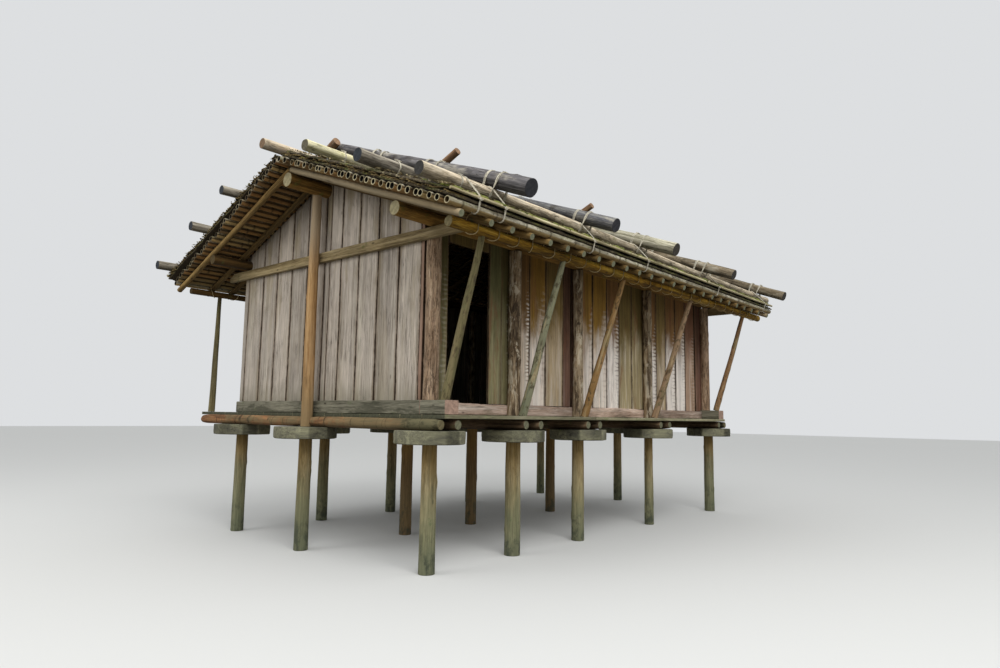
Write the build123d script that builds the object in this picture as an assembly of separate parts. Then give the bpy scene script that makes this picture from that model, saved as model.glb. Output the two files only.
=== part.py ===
"""Raised timber granary.

A plank-walled store room stands on round stilts. Each outer stilt carries a broad wooden
rat guard, and pairs of bearer logs run over the guards to hold the deck. The low gable roof
is a row of bamboo culms on pole rafters, closed by two layers of dark cover and held down
by long logs, with poles laid across them down both slopes.

Building axes, before the last shift: X runs along the front from the near gable, Y from the
front edge of the deck to the back, Z up from the feet of the stilts. All sizes are in
millimetres. The shift puts the origin at the bottom centre of the whole granary.
"""
from math import asin, atan2, cos, hypot, sin, tan
import os

from build123d import *

# Seats
seat = 0.3                      # clearance where round pieces lie on each other

# Frames along the building and rows across it
first_frame_x = 65
bay_lengths = (1150, 1145, 1630, 1855)
deck_end_margin = 65
front_row_y = 240
ridge_y = 1900
inner_stilt_y = 1855            # the inner stilts stand a little in front of the ridge
back_row_y = 3400
deck_width = 4290

# Stilts and rat guards
stilt_foot_diameter = 140
stilt_taper = 12
front_stilt_diameters = (144, 158, 142, 118, 146)   # at the foot
gable_stilt_out = 80            # middle of the two gable stilts, off the ends of the deck
guard_diameter = 650
guard_thickness = 115
guard_sides = 12
guard_underside_z = 1100

# Floor
bearer_diameter = 110
bearer_height = 105             # logs are hewn flat where they lie on guards and under boards
bearer_front_setback = 15
bearer_back_setback = 130
bearer_half_spacing = 120
bearer_pair_shifts = (44, -6, 47)           # pairs and their inner stilts, off the frame lines
edge_bearer_inset = 25          # outermost bearers, half clear of the deck's edge
inner_bearer_inset = 185
deck_thickness = 35

# Sills, wall boards and posts
wall_face_inset = 45            # gable boards, from the end of the deck
board_thickness = 30
gable_sill_height = 125
long_sill_height = 112
gable_sill_projection = 30
gable_sill_width = 170
gable_sill_front_setback = 15   # from the front edge of the deck
gable_board_front_gap = 94      # gable boards stop short of the front boards
front_sill_projection = 20
front_sill_width = 65
wall_post_diameter = 120
near_corner_post_diameter = 141
near_corner_post_inset = 100    # from the end of the deck
near_corner_post_y = 283
far_corner_post_diameter = 130
far_corner_post_inset = 100
far_corner_post_y = 255
front_wall_rise = 35            # boards end this far above the middle of the wall plate
back_wall_rise = 15

# Doorway in the first bay
door_near_x = 313
door_far_x = 888
door_head_z = 2972

# Tie beams, wall plates, ridge
tie_underside_z = 2930
tie_height = 110
tie_thickness = 50
tie_back_overhang = 290         # past the back wall
ridge_post_foot_diameter = 120
ridge_post_top_diameter = 96
ridge_post_offset = 30          # towards the back from the middle of the ridge log
ridge_post_gap = 2              # edge bearers stop this far from the post
ridge_diameter = 150
ridge_axis_z = 3715
saddle_depth = 28
front_plate_diameter = 130
back_plate_diameter = 110
plate_overhang = 430            # wall plates past the ends of the deck
ridge_past_plates = 15

# Rafters and eaves
rafter_diameter = 65
rafter_pitch = 272
outer_rafter_gap = 5            # innermost gable rafters, off the tie beams
verge_rafter_inset = 30         # outermost rafters, in from the ends of the plates
front_eave_overhang = 235       # rafter ends past the front purlin, measured level
back_eave_overhang = 75         # rafter ends past the back eave posts
front_purlin_diameter = 95
front_purlin_out = 300          # in front of the deck
front_purlin_near_overhang = 310
front_purlin_far_overhang = 620
back_purlin_diameter = 70
back_purlin_overhang = 330
eave_post_diameter = 80
eave_post_inset = 110           # from the back edge of the deck
brace_foot_diameter = 88
brace_head_diameter = 56
brace_foot_y = 115
brace_foot_shifts = (14, -12, -55, -65, -75)    # braces stand a little off the frame lines
brace_lean = (31, 115, 175, 265, 195)           # and their heads further along

# Bamboo culms
culm_diameter = 70
culm_wall = 8
culm_pitch = 92                 # rounded to fill the slope evenly
culm_first = 37                 # first culm, down the slope from the ridge
culm_end_setback = 53           # last culm, up the slope from the rafter ends
culm_overhang = 580
back_eave_culm_setback = 80     # the back verge draws in towards its eave
culm_stagger = 9                # culm ends are not quite level

# Cover layers over the culms
cover_overhang = 552
lower_cover_from_ridge = 2
upper_cover_from_ridge = 40
lower_cover_thickness = 45
upper_cover_thickness = 35
cover_past_last_culm = 30
batten_diameter = 28
batten_back = 18                # middle of the eave batten, up the slope from the cover's edge

# Logs and poles that hold the roof down
weight_overhang = 700
ridge_weight_diameter = 105
ridge_weight_overhang = 745
upper_weight_from_eave = 1941   # three logs on the front, up the slope from the cover's edge
middle_weight_from_eave = 1089
lower_weight_from_eave = 257
upper_weight_diameter = 110     # at the near gable
middle_weight_diameter = 124
lower_weight_diameter = 114
upper_weight_far_diameter = 100
middle_weight_far_diameter = 118
lower_weight_far_diameter = 98
lower_weight_far_overhang = 870
back_weight_diameter = 100
back_upper_weight_from_eave = 1700
back_middle_weight_from_eave = 980
back_lower_weight_from_eave = 110
cross_pole_x = (170, 1520, 2680, 4320, 6250)
front_pole_diameters = (160, 137, 146, 133, 136)    # at the eave
front_pole_ridge_diameters = (108, 98, 112, 98, 96)
front_pole_past_cover = (149, 149, 215, 205, 195)
front_pole_past_ridge = 110
back_pole_diameter = 90
back_pole_past_cover = 135
back_pole_past_ridge = (270, 785, 60, 843, 60)

# Worked out from the sizes above
frame_x = [first_frame_x + sum(bay_lengths[:i]) for i in range(len(bay_lengths) + 1)]
deck_length = frame_x[-1] + deck_end_margin
guard_top_z = guard_underside_z + guard_thickness
deck_underside_z = guard_top_z + bearer_height
deck_top_z = deck_underside_z + deck_thickness
gable_sill_top_z = deck_top_z + gable_sill_height
long_sill_top_z = deck_top_z + long_sill_height
front_wall_y = front_row_y + wall_post_diameter / 2
back_wall_y = back_row_y + wall_post_diameter / 2
tie_top_z = tie_underside_z + tie_height
tie_face_x = wall_face_inset - tie_thickness
ridge_post_x = -ridge_post_foot_diameter / 2 - seat
ridge_post_y = ridge_y + ridge_post_offset
front_purlin_y = -front_purlin_out
eave_post_y = deck_width - eave_post_inset
plate_middle_z = {
    "front": tie_top_z + front_plate_diameter / 2 + seat,
    "back": tie_top_z + back_plate_diameter / 2 + seat,
}
ridge_overhang = plate_overhang + ridge_past_plates
verge_rafter_overhang = plate_overhang - verge_rafter_inset
back_weight_from_eave = (
    back_upper_weight_from_eave, back_middle_weight_from_eave, back_lower_weight_from_eave
)


class Slope:
    """One roof slope: rafters lie on the ridge log and on a wall plate.

    Places on it are given by x, by the distance down the slope from the ridge and by the
    height above the tops of the rafters, square to the slope.
    """

    def __init__(self, side, plate_y, plate_z, plate_diameter, eave_y):
        run = abs(ridge_y - plate_y)
        rise = ridge_axis_z - plate_z
        self.side = side        # 1 where the slope falls towards the front, -1 at the back
        self.angle = atan2(rise, run) + asin((ridge_diameter - plate_diameter) / 2 / hypot(run, rise))
        top = (ridge_diameter / 2 + rafter_diameter + seat) / cos(self.angle)
        self.ridge_top_z = ridge_axis_z + top
        self.rafter_length = self.down_at_y(eave_y, -rafter_diameter / 2)
        last_culm = self.rafter_length - culm_end_setback
        spaces = round((last_culm - culm_first) / culm_pitch)
        pitch = (last_culm - culm_first) / spaces
        self.culm_places = [culm_first + i * pitch for i in range(spaces + 1)]
        self.cover_edge = last_culm + cover_past_last_culm

    def point(self, x, down, height):
        y = ridge_y - self.side * (down * cos(self.angle) + height * sin(self.angle))
        z = self.ridge_top_z - down * sin(self.angle) + height * cos(self.angle)
        return Vector(x, y, z)

    def down_at_y(self, y, height):
        """Distance down the slope at which a height above the rafters crosses a given Y."""
        return (self.side * (ridge_y - y) - height * sin(self.angle)) / cos(self.angle)


front_plate_y = front_wall_y - front_plate_diameter / 2 - seat
back_plate_y = back_wall_y - back_plate_diameter / 2 - seat
front_slope = Slope(
    1, front_plate_y, plate_middle_z["front"], front_plate_diameter, front_purlin_y - front_eave_overhang
)
back_slope = Slope(
    -1, back_plate_y, plate_middle_z["back"], back_plate_diameter, eave_post_y + back_eave_overhang
)
lower_slope = min(front_slope, back_slope, key=lambda slope: slope.ridge_top_z)

# Heights above the tops of the rafters, square to the slope
culm_height = seat + culm_diameter / 2
lower_cover_height = seat + culm_diameter + seat
upper_cover_height = lower_cover_height + lower_cover_thickness
cover_top_height = upper_cover_height + upper_cover_thickness


def log(start, end, diameter, end_diameter=None):
    """Round log from one point to another, tapering if a second diameter is given."""
    start = Vector(*start)
    end = Vector(*end)
    plane = Plane(origin=start, z_dir=end - start)
    length = (end - start).length
    if end_diameter is None:
        return Solid.make_cylinder(diameter / 2, length, plane)
    return Solid.make_cone(diameter / 2, end_diameter / 2, length, plane)


def beam(x_range, y_range, z_range):
    """Squared piece between two corners."""
    low = Vector(x_range[0], y_range[0], z_range[0])
    size = Vector(x_range[1], y_range[1], z_range[1]) - low
    return Solid.make_box(size.X, size.Y, size.Z, Plane(origin=low))


def cut(piece, *tools):
    """The piece less its tools, keeping the largest solid that is left."""
    for tool in tools:
        piece = max((piece - tool).solids(), key=lambda solid: solid.volume)
    return piece


def mirrored(x):
    """The same place measured from the far end of the deck."""
    return deck_length - x


def along_x(point, near_x, far_x):
    """The two ends of a log that lies along the building through a point."""
    return Vector(near_x, point.Y, point.Z), Vector(far_x, point.Y, point.Z)


# Stilts, guards and floor

def guarded_stilt(x, y, diameter=stilt_foot_diameter):
    return log((x, y, 0), (x, y, guard_underside_z), diameter, diameter - stilt_taper)


def rat_guard(x, y):
    outline = RegularPolygon(guard_diameter / 2, guard_sides)
    place = Pos(x, y, guard_underside_z)
    return extrude(place * outline, guard_thickness, (0, 0, 1)).solid()


def inner_stilt(x):
    """Stilt with no guard, passing up between two bearers to the boards."""
    foot = (x, inner_stilt_y, 0)
    top = (x, inner_stilt_y, deck_underside_z)
    return log(foot, top, stilt_foot_diameter, stilt_foot_diameter - stilt_taper)


def bearer(x, y_range):
    middle_z = guard_top_z + bearer_height / 2
    rough = log((x, y_range[0], middle_z), (x, y_range[1], middle_z), bearer_diameter)
    hewn = beam(
        (x - bearer_diameter, x + bearer_diameter),
        (y_range[0] - 1, y_range[1] + 1),
        (guard_top_z, deck_underside_z),
    )
    return (rough & hewn).solid()


bearer_pair_x = [x + shift for x, shift in zip(frame_x[1:-1], bearer_pair_shifts)]
bearer_ends = (bearer_front_setback, deck_width - bearer_back_setback)


def floor_bearers():
    places = [inner_bearer_inset, mirrored(inner_bearer_inset)]
    for x in bearer_pair_x:
        places += [x - bearer_half_spacing, x + bearer_half_spacing]
    return [bearer(x, bearer_ends) for x in places]


def edge_bearers():
    """Outermost bearers, each in two lengths that stop at the ridge post."""
    stop = ridge_post_foot_diameter / 2 + ridge_post_gap
    ranges = ((bearer_ends[0], ridge_post_y - stop), (ridge_post_y + stop, bearer_ends[1]))
    places = (-edge_bearer_inset, mirrored(-edge_bearer_inset))
    return [bearer(x, y_range) for x in places for y_range in ranges]


def deck():
    return beam((0, deck_length), (0, deck_width), (deck_underside_z, deck_top_z))


# Walls

def upright(x, y, diameter, foot_z, top_z):
    return log((x, y, foot_z), (x, y, top_z), diameter)


def front_corner_posts(margin=0):
    """Posts on the gable sills, notched for the tie beams; a margin makes them cutters."""
    places = (
        (near_corner_post_inset, near_corner_post_y, near_corner_post_diameter),
        (mirrored(far_corner_post_inset), far_corner_post_y, far_corner_post_diameter),
    )
    posts = []
    for x, y, diameter in places:
        post = upright(x, y, diameter + 2 * margin, gable_sill_top_z - margin, tie_top_z)
        posts.append(cut(post, *tie_beams()))
    return posts


def front_wall_posts():
    return [
        upright(x, front_row_y, wall_post_diameter, deck_top_z, tie_top_z) for x in frame_x[1:-1]
    ]


def back_wall_posts():
    corner_x = wall_face_inset + board_thickness + wall_post_diameter / 2 + seat
    corners = [
        upright(x, back_row_y, wall_post_diameter, gable_sill_top_z, tie_top_z)
        for x in (corner_x, mirrored(corner_x))
    ]
    inner = [
        upright(x, back_row_y, wall_post_diameter, deck_top_z, tie_top_z) for x in frame_x[1:-1]
    ]
    return corners + inner


def gable_sills():
    outer_x = wall_face_inset - gable_sill_projection
    y_range = (gable_sill_front_setback, back_wall_y + board_thickness)
    near = (outer_x, outer_x + gable_sill_width)
    far = (mirrored(near[1]), mirrored(near[0]))
    return [beam(x_range, y_range, (deck_top_z, gable_sill_top_z)) for x_range in (near, far)]


def long_sill(y_range, posts):
    """Sill between the two gable sills, scribed round the posts that stand beside it."""
    inner_x = wall_face_inset - gable_sill_projection + gable_sill_width
    whole = beam((inner_x, mirrored(inner_x)), y_range, (deck_top_z, long_sill_top_z))
    sockets = [
        upright(x, y, wall_post_diameter + 2 * seat, deck_top_z - seat, long_sill_top_z + seat)
        for x, y in posts
    ]
    return cut(whole, *sockets)


def front_sill():
    outer_y = front_wall_y - front_sill_projection
    return long_sill(
        (outer_y, outer_y + front_sill_width), [(x, front_row_y) for x in frame_x[1:-1]]
    )


def back_sill():
    outer_y = back_wall_y + board_thickness + front_sill_projection
    return long_sill(
        (outer_y - front_sill_width, outer_y), [(x, back_row_y) for x in frame_x[1:-1]]
    )


def front_boards(x_range, foot_z=long_sill_top_z):
    """Boards between two places along the front, fitted to the corner posts and gable sills."""
    top_z = plate_middle_z["front"] + front_wall_rise
    whole = beam(x_range, (front_wall_y, front_wall_y + board_thickness), (foot_z, top_z))
    return cut(whole, *front_corner_posts(seat), *gable_sills())


def door_head_board():
    return front_boards((door_near_x, door_far_x), door_head_z)


def back_boards():
    near_x = wall_face_inset + board_thickness
    top_z = plate_middle_z["back"] + back_wall_rise
    y_range = (back_wall_y, back_wall_y + board_thickness)
    return cut(beam((near_x, mirrored(near_x)), y_range, (long_sill_top_z, top_z)), *gable_sills())


def gable_boards(near_x):
    """Gable wall up to the culms, with room cut for the ridge log and the back wall plate."""
    y_front = front_wall_y + gable_board_front_gap
    y_back = back_wall_y + board_thickness
    corners = [Vector(near_x, y, gable_sill_top_z) for y in (y_front, y_back)]
    for slope, y in ((back_slope, y_back), (lower_slope, ridge_y), (front_slope, y_front)):
        corners.append(slope.point(near_x, slope.down_at_y(y, -seat), -seat))
    outline = Face(Wire.make_polygon(corners, close=True))
    wall = Solid.extrude(outline, Vector(board_thickness, 0, 0))
    return cut(wall, ridge_log(seat), back_wall_plate(seat))


# Timbers of the roof frame

def front_wall_plate():
    middle = Vector(0, front_plate_y, plate_middle_z["front"])
    ends = along_x(middle, -plate_overhang, mirrored(-plate_overhang))
    return log(*ends, front_plate_diameter)


def back_wall_plate(margin=0):
    middle = Vector(0, back_plate_y, plate_middle_z["back"])
    ends = along_x(middle, -plate_overhang, mirrored(-plate_overhang))
    return log(*ends, back_plate_diameter + 2 * margin)


def ridge_log(margin=0):
    middle = Vector(0, ridge_y, ridge_axis_z)
    ends = along_x(middle, -ridge_overhang, mirrored(-ridge_overhang))
    return log(*ends, ridge_diameter + 2 * margin)


def ridge_post(x):
    """Gable post from its guard to the ridge log, with a saddle cut in its top."""
    foot = (x, ridge_post_y, guard_top_z)
    top = (x, ridge_post_y, ridge_axis_z - ridge_diameter / 2 + saddle_depth)
    post = log(foot, top, ridge_post_foot_diameter, ridge_post_top_diameter)
    return cut(post, ridge_log(seat))


def roof_wedge(slope):
    """Everything above the undersides of the rafters on one slope."""
    low = -rafter_diameter - seat
    reach = 2 * deck_width
    corners = [
        slope.point(-reach, slope.down_at_y(ridge_y, low), low),
        slope.point(-reach, reach, low),
        slope.point(-reach, reach, reach),
        slope.point(-reach, slope.down_at_y(ridge_y, reach), reach),
    ]
    outline = Face(Wire.make_polygon(corners, close=True))
    return Solid.extrude(outline, Vector(2 * reach + deck_length, 0, 0))


def tie_beam(near_x):
    """Squared beam across a gable, with its ends trimmed under the rafters."""
    y_front = front_purlin_y + front_purlin_diameter / 2 + seat
    y_back = back_wall_y + board_thickness + tie_back_overhang
    whole = beam((near_x, near_x + tie_thickness), (y_front, y_back), (tie_underside_z, tie_top_z))
    return cut(whole, roof_wedge(front_slope), roof_wedge(back_slope))


def tie_beams():
    return [tie_beam(tie_face_x), tie_beam(mirrored(wall_face_inset))]


def purlin_middle(slope, y, diameter):
    """Middle of a purlin that lies under the rafters at a given Y."""
    height = -rafter_diameter - seat - diameter / 2
    return slope.point(0, slope.down_at_y(y, height), height)


def front_eave_purlin(margin=0):
    middle = purlin_middle(front_slope, front_purlin_y, front_purlin_diameter)
    ends = along_x(middle, -front_purlin_near_overhang, mirrored(-front_purlin_far_overhang))
    return log(*ends, front_purlin_diameter + 2 * margin)


def back_eave_purlin():
    y = eave_post_y - eave_post_diameter / 2 - seat - back_purlin_diameter / 2
    middle = purlin_middle(back_slope, y, back_purlin_diameter)
    ends = along_x(middle, -back_purlin_overhang, mirrored(-back_purlin_overhang))
    return log(*ends, back_purlin_diameter)


def back_eave_posts():
    """Posts on the edge of the deck that end just under the rafters."""
    posts = [upright(x, eave_post_y, eave_post_diameter, deck_top_z, tie_top_z) for x in frame_x]
    return [cut(post, roof_wedge(back_slope)) for post in posts]


def front_braces():
    """Leaning poles from the deck, or from a gable sill, to the eave purlin, cut to fit both."""
    purlin = front_eave_purlin(seat)
    head = purlin_middle(front_slope, front_purlin_y, front_purlin_diameter)
    deck_block = beam((-deck_width, 2 * deck_length), (-deck_width, deck_width), (0, deck_top_z))
    braces = []
    for x, shift, lean in zip(frame_x, brace_foot_shifts, brace_lean):
        foot = Vector(x + shift, brace_foot_y, deck_top_z)
        top = Vector(x + shift + lean, head.Y, head.Z)
        start = foot - (top - foot).normalized() * brace_foot_diameter
        pole = log(start, top, brace_foot_diameter, brace_head_diameter)
        braces.append(cut(pole, purlin, deck_block, *gable_sills()))
    return braces


def rafter_places():
    first = tie_face_x - outer_rafter_gap - rafter_diameter / 2
    span = mirrored(first) - first
    count = round(span / rafter_pitch)
    inner = [first + span * i / count for i in range(count + 1)]
    return [-verge_rafter_overhang] + inner + [mirrored(-verge_rafter_overhang)]


def rafters(slope):
    """Pole rafters from the ridge to the eave, mitred where the two slopes meet."""
    height = -rafter_diameter / 2
    start = slope.down_at_y(ridge_y, height) - rafter_diameter
    block_y = sorted((ridge_y + slope.side * deck_width, ridge_y - slope.side * seat))
    beyond = beam((-deck_width, 2 * deck_length), block_y, (0, 2 * ridge_axis_z))
    poles = [
        log(slope.point(x, start, height), slope.point(x, slope.rafter_length, height), rafter_diameter)
        for x in rafter_places()
    ]
    return [cut(pole, beyond) for pole in poles]


# Roof covering

def culms(slope, eave_setback):
    """Bamboo culms side by side from the ridge to the eave, hollow from end to end."""
    pieces = []
    for i, down in enumerate(slope.culm_places):
        middle = slope.point(0, down, culm_height)
        share = i / (len(slope.culm_places) - 1)
        near_x = -culm_overhang + eave_setback * share + culm_stagger * (i * 5 % 4)
        far_x = mirrored(-culm_overhang) - culm_stagger * (i * 7 % 5)
        ends = along_x(middle, near_x, far_x)
        bore = log(*ends, culm_diameter - 2 * culm_wall)
        pieces.append(cut(log(*ends, culm_diameter), bore))
    return pieces


def cover(slope, low, thickness, start, edge):
    """One layer over the culms, from beside the ridge to its edge at the eave."""
    near_x = -cover_overhang
    corners = [
        slope.point(near_x, start, low),
        slope.point(near_x, edge, low),
        slope.point(near_x, edge, low + thickness),
        slope.point(near_x, start, low + thickness),
    ]
    outline = Face(Wire.make_polygon(corners, close=True))
    return Solid.extrude(outline, Vector(mirrored(near_x) - near_x, 0, 0))


def lower_covers():
    return [
        cover(
            slope, lower_cover_height, lower_cover_thickness, lower_cover_from_ridge, slope.cover_edge
        )
        for slope in (front_slope, back_slope)
    ]


def upper_covers():
    setback = batten_back + batten_diameter / 2 + seat
    return [
        cover(
            slope, upper_cover_height, upper_cover_thickness, upper_cover_from_ridge,
            slope.cover_edge - setback,
        )
        for slope in (front_slope, back_slope)
    ]


def eave_battens():
    """Thin poles along the edges of the upper cover."""
    battens = []
    for slope in (front_slope, back_slope):
        height = upper_cover_height + seat + batten_diameter / 2
        middle = slope.point(0, slope.cover_edge - batten_back, height)
        battens.append(log(*along_x(middle, -cover_overhang, mirrored(-cover_overhang)), batten_diameter))
    return battens


# Logs and poles on the roof

def ridge_weight_log():
    """Log along the ridge, lying in the gap between the lower covers."""
    reach = ridge_weight_diameter / 2 + seat
    heights = []
    for slope in (front_slope, back_slope):
        edge = slope.point(0, lower_cover_from_ridge, upper_cover_height)
        heights.append(edge.Z + max(reach**2 - (edge.Y - ridge_y) ** 2, 0) ** 0.5)
    middle = Vector(0, ridge_y, max(heights))
    ends = along_x(middle, -ridge_weight_overhang, mirrored(-ridge_weight_overhang))
    return log(*ends, ridge_weight_diameter)


class FrontWeight:
    """Tapering log that lies on the front cover, with its thicker end over the near gable."""

    def __init__(self, from_eave, diameter, far_diameter, far_overhang):
        self.down = front_slope.cover_edge - from_eave
        self.diameter = diameter
        self.far_diameter = far_diameter
        self.far_x = mirrored(-far_overhang)

    def solid(self):
        low = cover_top_height + seat
        start = front_slope.point(-weight_overhang, self.down, low + self.diameter / 2)
        end = front_slope.point(self.far_x, self.down, low + self.far_diameter / 2)
        return log(start, end, self.diameter, self.far_diameter)

    def top(self, x):
        """Height of the log's top above the rafters at some x."""
        share = (x + weight_overhang) / (self.far_x + weight_overhang)
        taper = self.far_diameter - self.diameter
        return cover_top_height + seat + self.diameter + taper * share


upper_weight = FrontWeight(
    upper_weight_from_eave, upper_weight_diameter, upper_weight_far_diameter, weight_overhang
)
middle_weight = FrontWeight(
    middle_weight_from_eave, middle_weight_diameter, middle_weight_far_diameter, weight_overhang
)
lower_weight = FrontWeight(
    lower_weight_from_eave, lower_weight_diameter, lower_weight_far_diameter,
    lower_weight_far_overhang,
)


def front_weight_logs():
    return [weight.solid() for weight in (upper_weight, middle_weight, lower_weight)]


def back_weight_logs():
    height = cover_top_height + seat + back_weight_diameter / 2
    logs = []
    for up in back_weight_from_eave:
        middle = back_slope.point(0, back_slope.cover_edge - up, height)
        ends = along_x(middle, -weight_overhang, mirrored(-weight_overhang))
        logs.append(log(*ends, back_weight_diameter))
    return logs


def front_cross_pole(x, eave_diameter, ridge_diameter, past_cover):
    """Pole laid down the front slope over its two lower weight logs."""
    near_side = x - eave_diameter / 2
    top_height = middle_weight.top(near_side)
    fall = (top_height - lower_weight.top(near_side)) / (lower_weight.down - middle_weight.down)
    ridge_end = -front_pole_past_ridge
    eave_end = front_slope.cover_edge + past_cover

    def middle(down, diameter):
        rise = fall * (middle_weight.down - down)
        return front_slope.point(x, down, top_height + rise + 2 * seat + diameter / 2)

    start = middle(ridge_end, ridge_diameter)
    return log(start, middle(eave_end, eave_diameter), ridge_diameter, eave_diameter)


def front_cross_poles():
    rows = zip(cross_pole_x, front_pole_diameters, front_pole_ridge_diameters, front_pole_past_cover)
    return [front_cross_pole(*row) for row in rows]


def back_cross_poles():
    """Each back pole crosses the ridge beside its front pole, on the near side."""
    height = cover_top_height + seat + back_weight_diameter + seat + back_pole_diameter / 2
    low = back_slope.cover_edge + back_pole_past_cover
    poles = []
    for x, diameter, past in zip(cross_pole_x, front_pole_diameters, back_pole_past_ridge):
        beside = x - (diameter + back_pole_diameter) / 2 - seat
        start = back_slope.point(beside, -past, height)
        poles.append(log(start, back_slope.point(beside, low, height), back_pole_diameter))
    return poles


def granary():
    """Every node by name, each a list of solids."""
    outer_x = wall_face_inset + board_thickness
    gable_stilt_x = (-gable_stilt_out, mirrored(-gable_stilt_out))
    return {
        "front_stilts": [
            guarded_stilt(x, front_row_y, diameter)
            for x, diameter in zip(frame_x, front_stilt_diameters)
        ],
        "middle_stilts": [inner_stilt(x) for x in bearer_pair_x]
        + [guarded_stilt(x, ridge_y) for x in gable_stilt_x],
        "back_stilts": [guarded_stilt(x, back_row_y) for x in frame_x],
        "front_rat_guards": [rat_guard(x, front_row_y) for x in frame_x],
        "gable_rat_guards": [rat_guard(x, ridge_y) for x in gable_stilt_x],
        "back_rat_guards": [rat_guard(x, back_row_y) for x in frame_x],
        "floor_bearers": floor_bearers(),
        "edge_bearers": edge_bearers(),
        "deck": [deck()],
        "gable_sills": gable_sills(),
        "front_sill": [front_sill()],
        "back_sill": [back_sill()],
        "near_gable_boards": [gable_boards(wall_face_inset)],
        "far_gable_boards": [gable_boards(mirrored(outer_x))],
        "front_corner_posts": front_corner_posts(),
        "front_wall_posts": front_wall_posts(),
        "back_wall_posts": back_wall_posts(),
        "front_boards_corner": [front_boards((outer_x, door_near_x))],
        "front_boards_door_side": [front_boards((door_far_x, frame_x[1]))],
        "door_head_board": [door_head_board()],
        "front_boards_bay_2": [front_boards((frame_x[1], frame_x[2]))],
        "front_boards_bay_3": [front_boards((frame_x[2], frame_x[3]))],
        "front_boards_bay_4": [front_boards((frame_x[3], mirrored(outer_x)))],
        "back_boards": [back_boards()],
        "tie_beams": tie_beams(),
        "ridge_posts": [ridge_post(ridge_post_x), ridge_post(mirrored(ridge_post_x))],
        "front_wall_plate": [front_wall_plate()],
        "back_wall_plate": [back_wall_plate()],
        "ridge_log": [ridge_log()],
        "front_eave_purlin": [front_eave_purlin()],
        "back_eave_purlin": [back_eave_purlin()],
        "front_braces": front_braces(),
        "back_eave_posts": back_eave_posts(),
        "front_rafters": rafters(front_slope),
        "back_rafters": rafters(back_slope),
        "front_culms": culms(front_slope, 0),
        "back_culms": culms(back_slope, back_eave_culm_setback),
        "lower_covers": lower_covers(),
        "upper_covers": upper_covers(),
        "eave_battens": eave_battens(),
        "ridge_weight_log": [ridge_weight_log()],
        "front_weight_logs": front_weight_logs(),
        "back_weight_logs": back_weight_logs(),
        "front_cross_poles": front_cross_poles(),
        "back_cross_poles": back_cross_poles(),
    }


def main():
    os.makedirs("parts", exist_ok=True)
    nodes = granary()
    boxes = [piece.bounding_box() for pieces in nodes.values() for piece in pieces]
    low = Vector(*(min(getattr(box.min, axis) for box in boxes) for axis in "XYZ"))
    high = Vector(*(max(getattr(box.max, axis) for box in boxes) for axis in "XYZ"))
    middle = (low + high) / 2
    shift = Pos(-middle.X, -middle.Y, -low.Z)
    for name, pieces in nodes.items():
        placed = [shift * piece for piece in pieces]
        shape = placed[0] if len(placed) == 1 else Compound(children=placed)
        export_step(shape, f"parts/{name}.step")
    print("origin of the building frame in the granary's own frame:", shift.position)
    print("overall size:", high - low)


main()
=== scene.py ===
"""Looks of the raised granary: every timber, culm, lashing and drift of litter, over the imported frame."""
import math

import bpy
import numpy as np
from mathutils import Matrix, Vector


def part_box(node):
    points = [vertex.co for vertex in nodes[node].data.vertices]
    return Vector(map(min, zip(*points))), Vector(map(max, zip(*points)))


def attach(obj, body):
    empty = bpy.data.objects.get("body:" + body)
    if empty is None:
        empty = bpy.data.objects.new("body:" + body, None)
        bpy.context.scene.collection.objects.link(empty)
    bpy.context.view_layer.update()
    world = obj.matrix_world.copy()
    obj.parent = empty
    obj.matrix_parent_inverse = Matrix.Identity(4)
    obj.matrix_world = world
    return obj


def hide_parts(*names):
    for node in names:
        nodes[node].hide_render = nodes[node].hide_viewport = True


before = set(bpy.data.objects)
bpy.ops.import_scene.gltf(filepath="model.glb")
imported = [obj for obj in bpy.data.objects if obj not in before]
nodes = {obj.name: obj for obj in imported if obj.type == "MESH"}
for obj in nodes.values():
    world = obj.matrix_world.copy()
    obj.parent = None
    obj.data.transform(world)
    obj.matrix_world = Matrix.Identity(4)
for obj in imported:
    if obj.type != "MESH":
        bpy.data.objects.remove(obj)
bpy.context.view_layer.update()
deck_low, deck_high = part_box("deck")
# Building axes in metres: x along the front, y towards the back, both from the deck's near corner
ORIGIN = np.array([deck_low.x, deck_low.y, 0.0])
DECK_LENGTH = deck_high.x - deck_low.x
RIDGE_Y = 1.9
ALONG = np.array([1.0, 0, 0])
WHOLE_TURN = 2 * math.pi
END_BAND = 0.004            # corners this near the end of a solid belong to it
CAP_SHARES = (0.02, 0.35, 0.7)      # rings on a cut end, from its middle outwards
KNOT_REACH = 0.035          # metres along a log
KNOT_SPREAD = 0.35          # radians round it
KNOT_RISE = 0.10            # share of its radius


def here(x, y, z):
    """A place given in building axes."""
    return ORIGIN + np.array([x, y, z], float)


def unit(vector):
    return vector / np.linalg.norm(vector)


def round_angles(count):
    return np.linspace(0, WHOLE_TURN, count, endpoint=False)


# Solids of the frame

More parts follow.
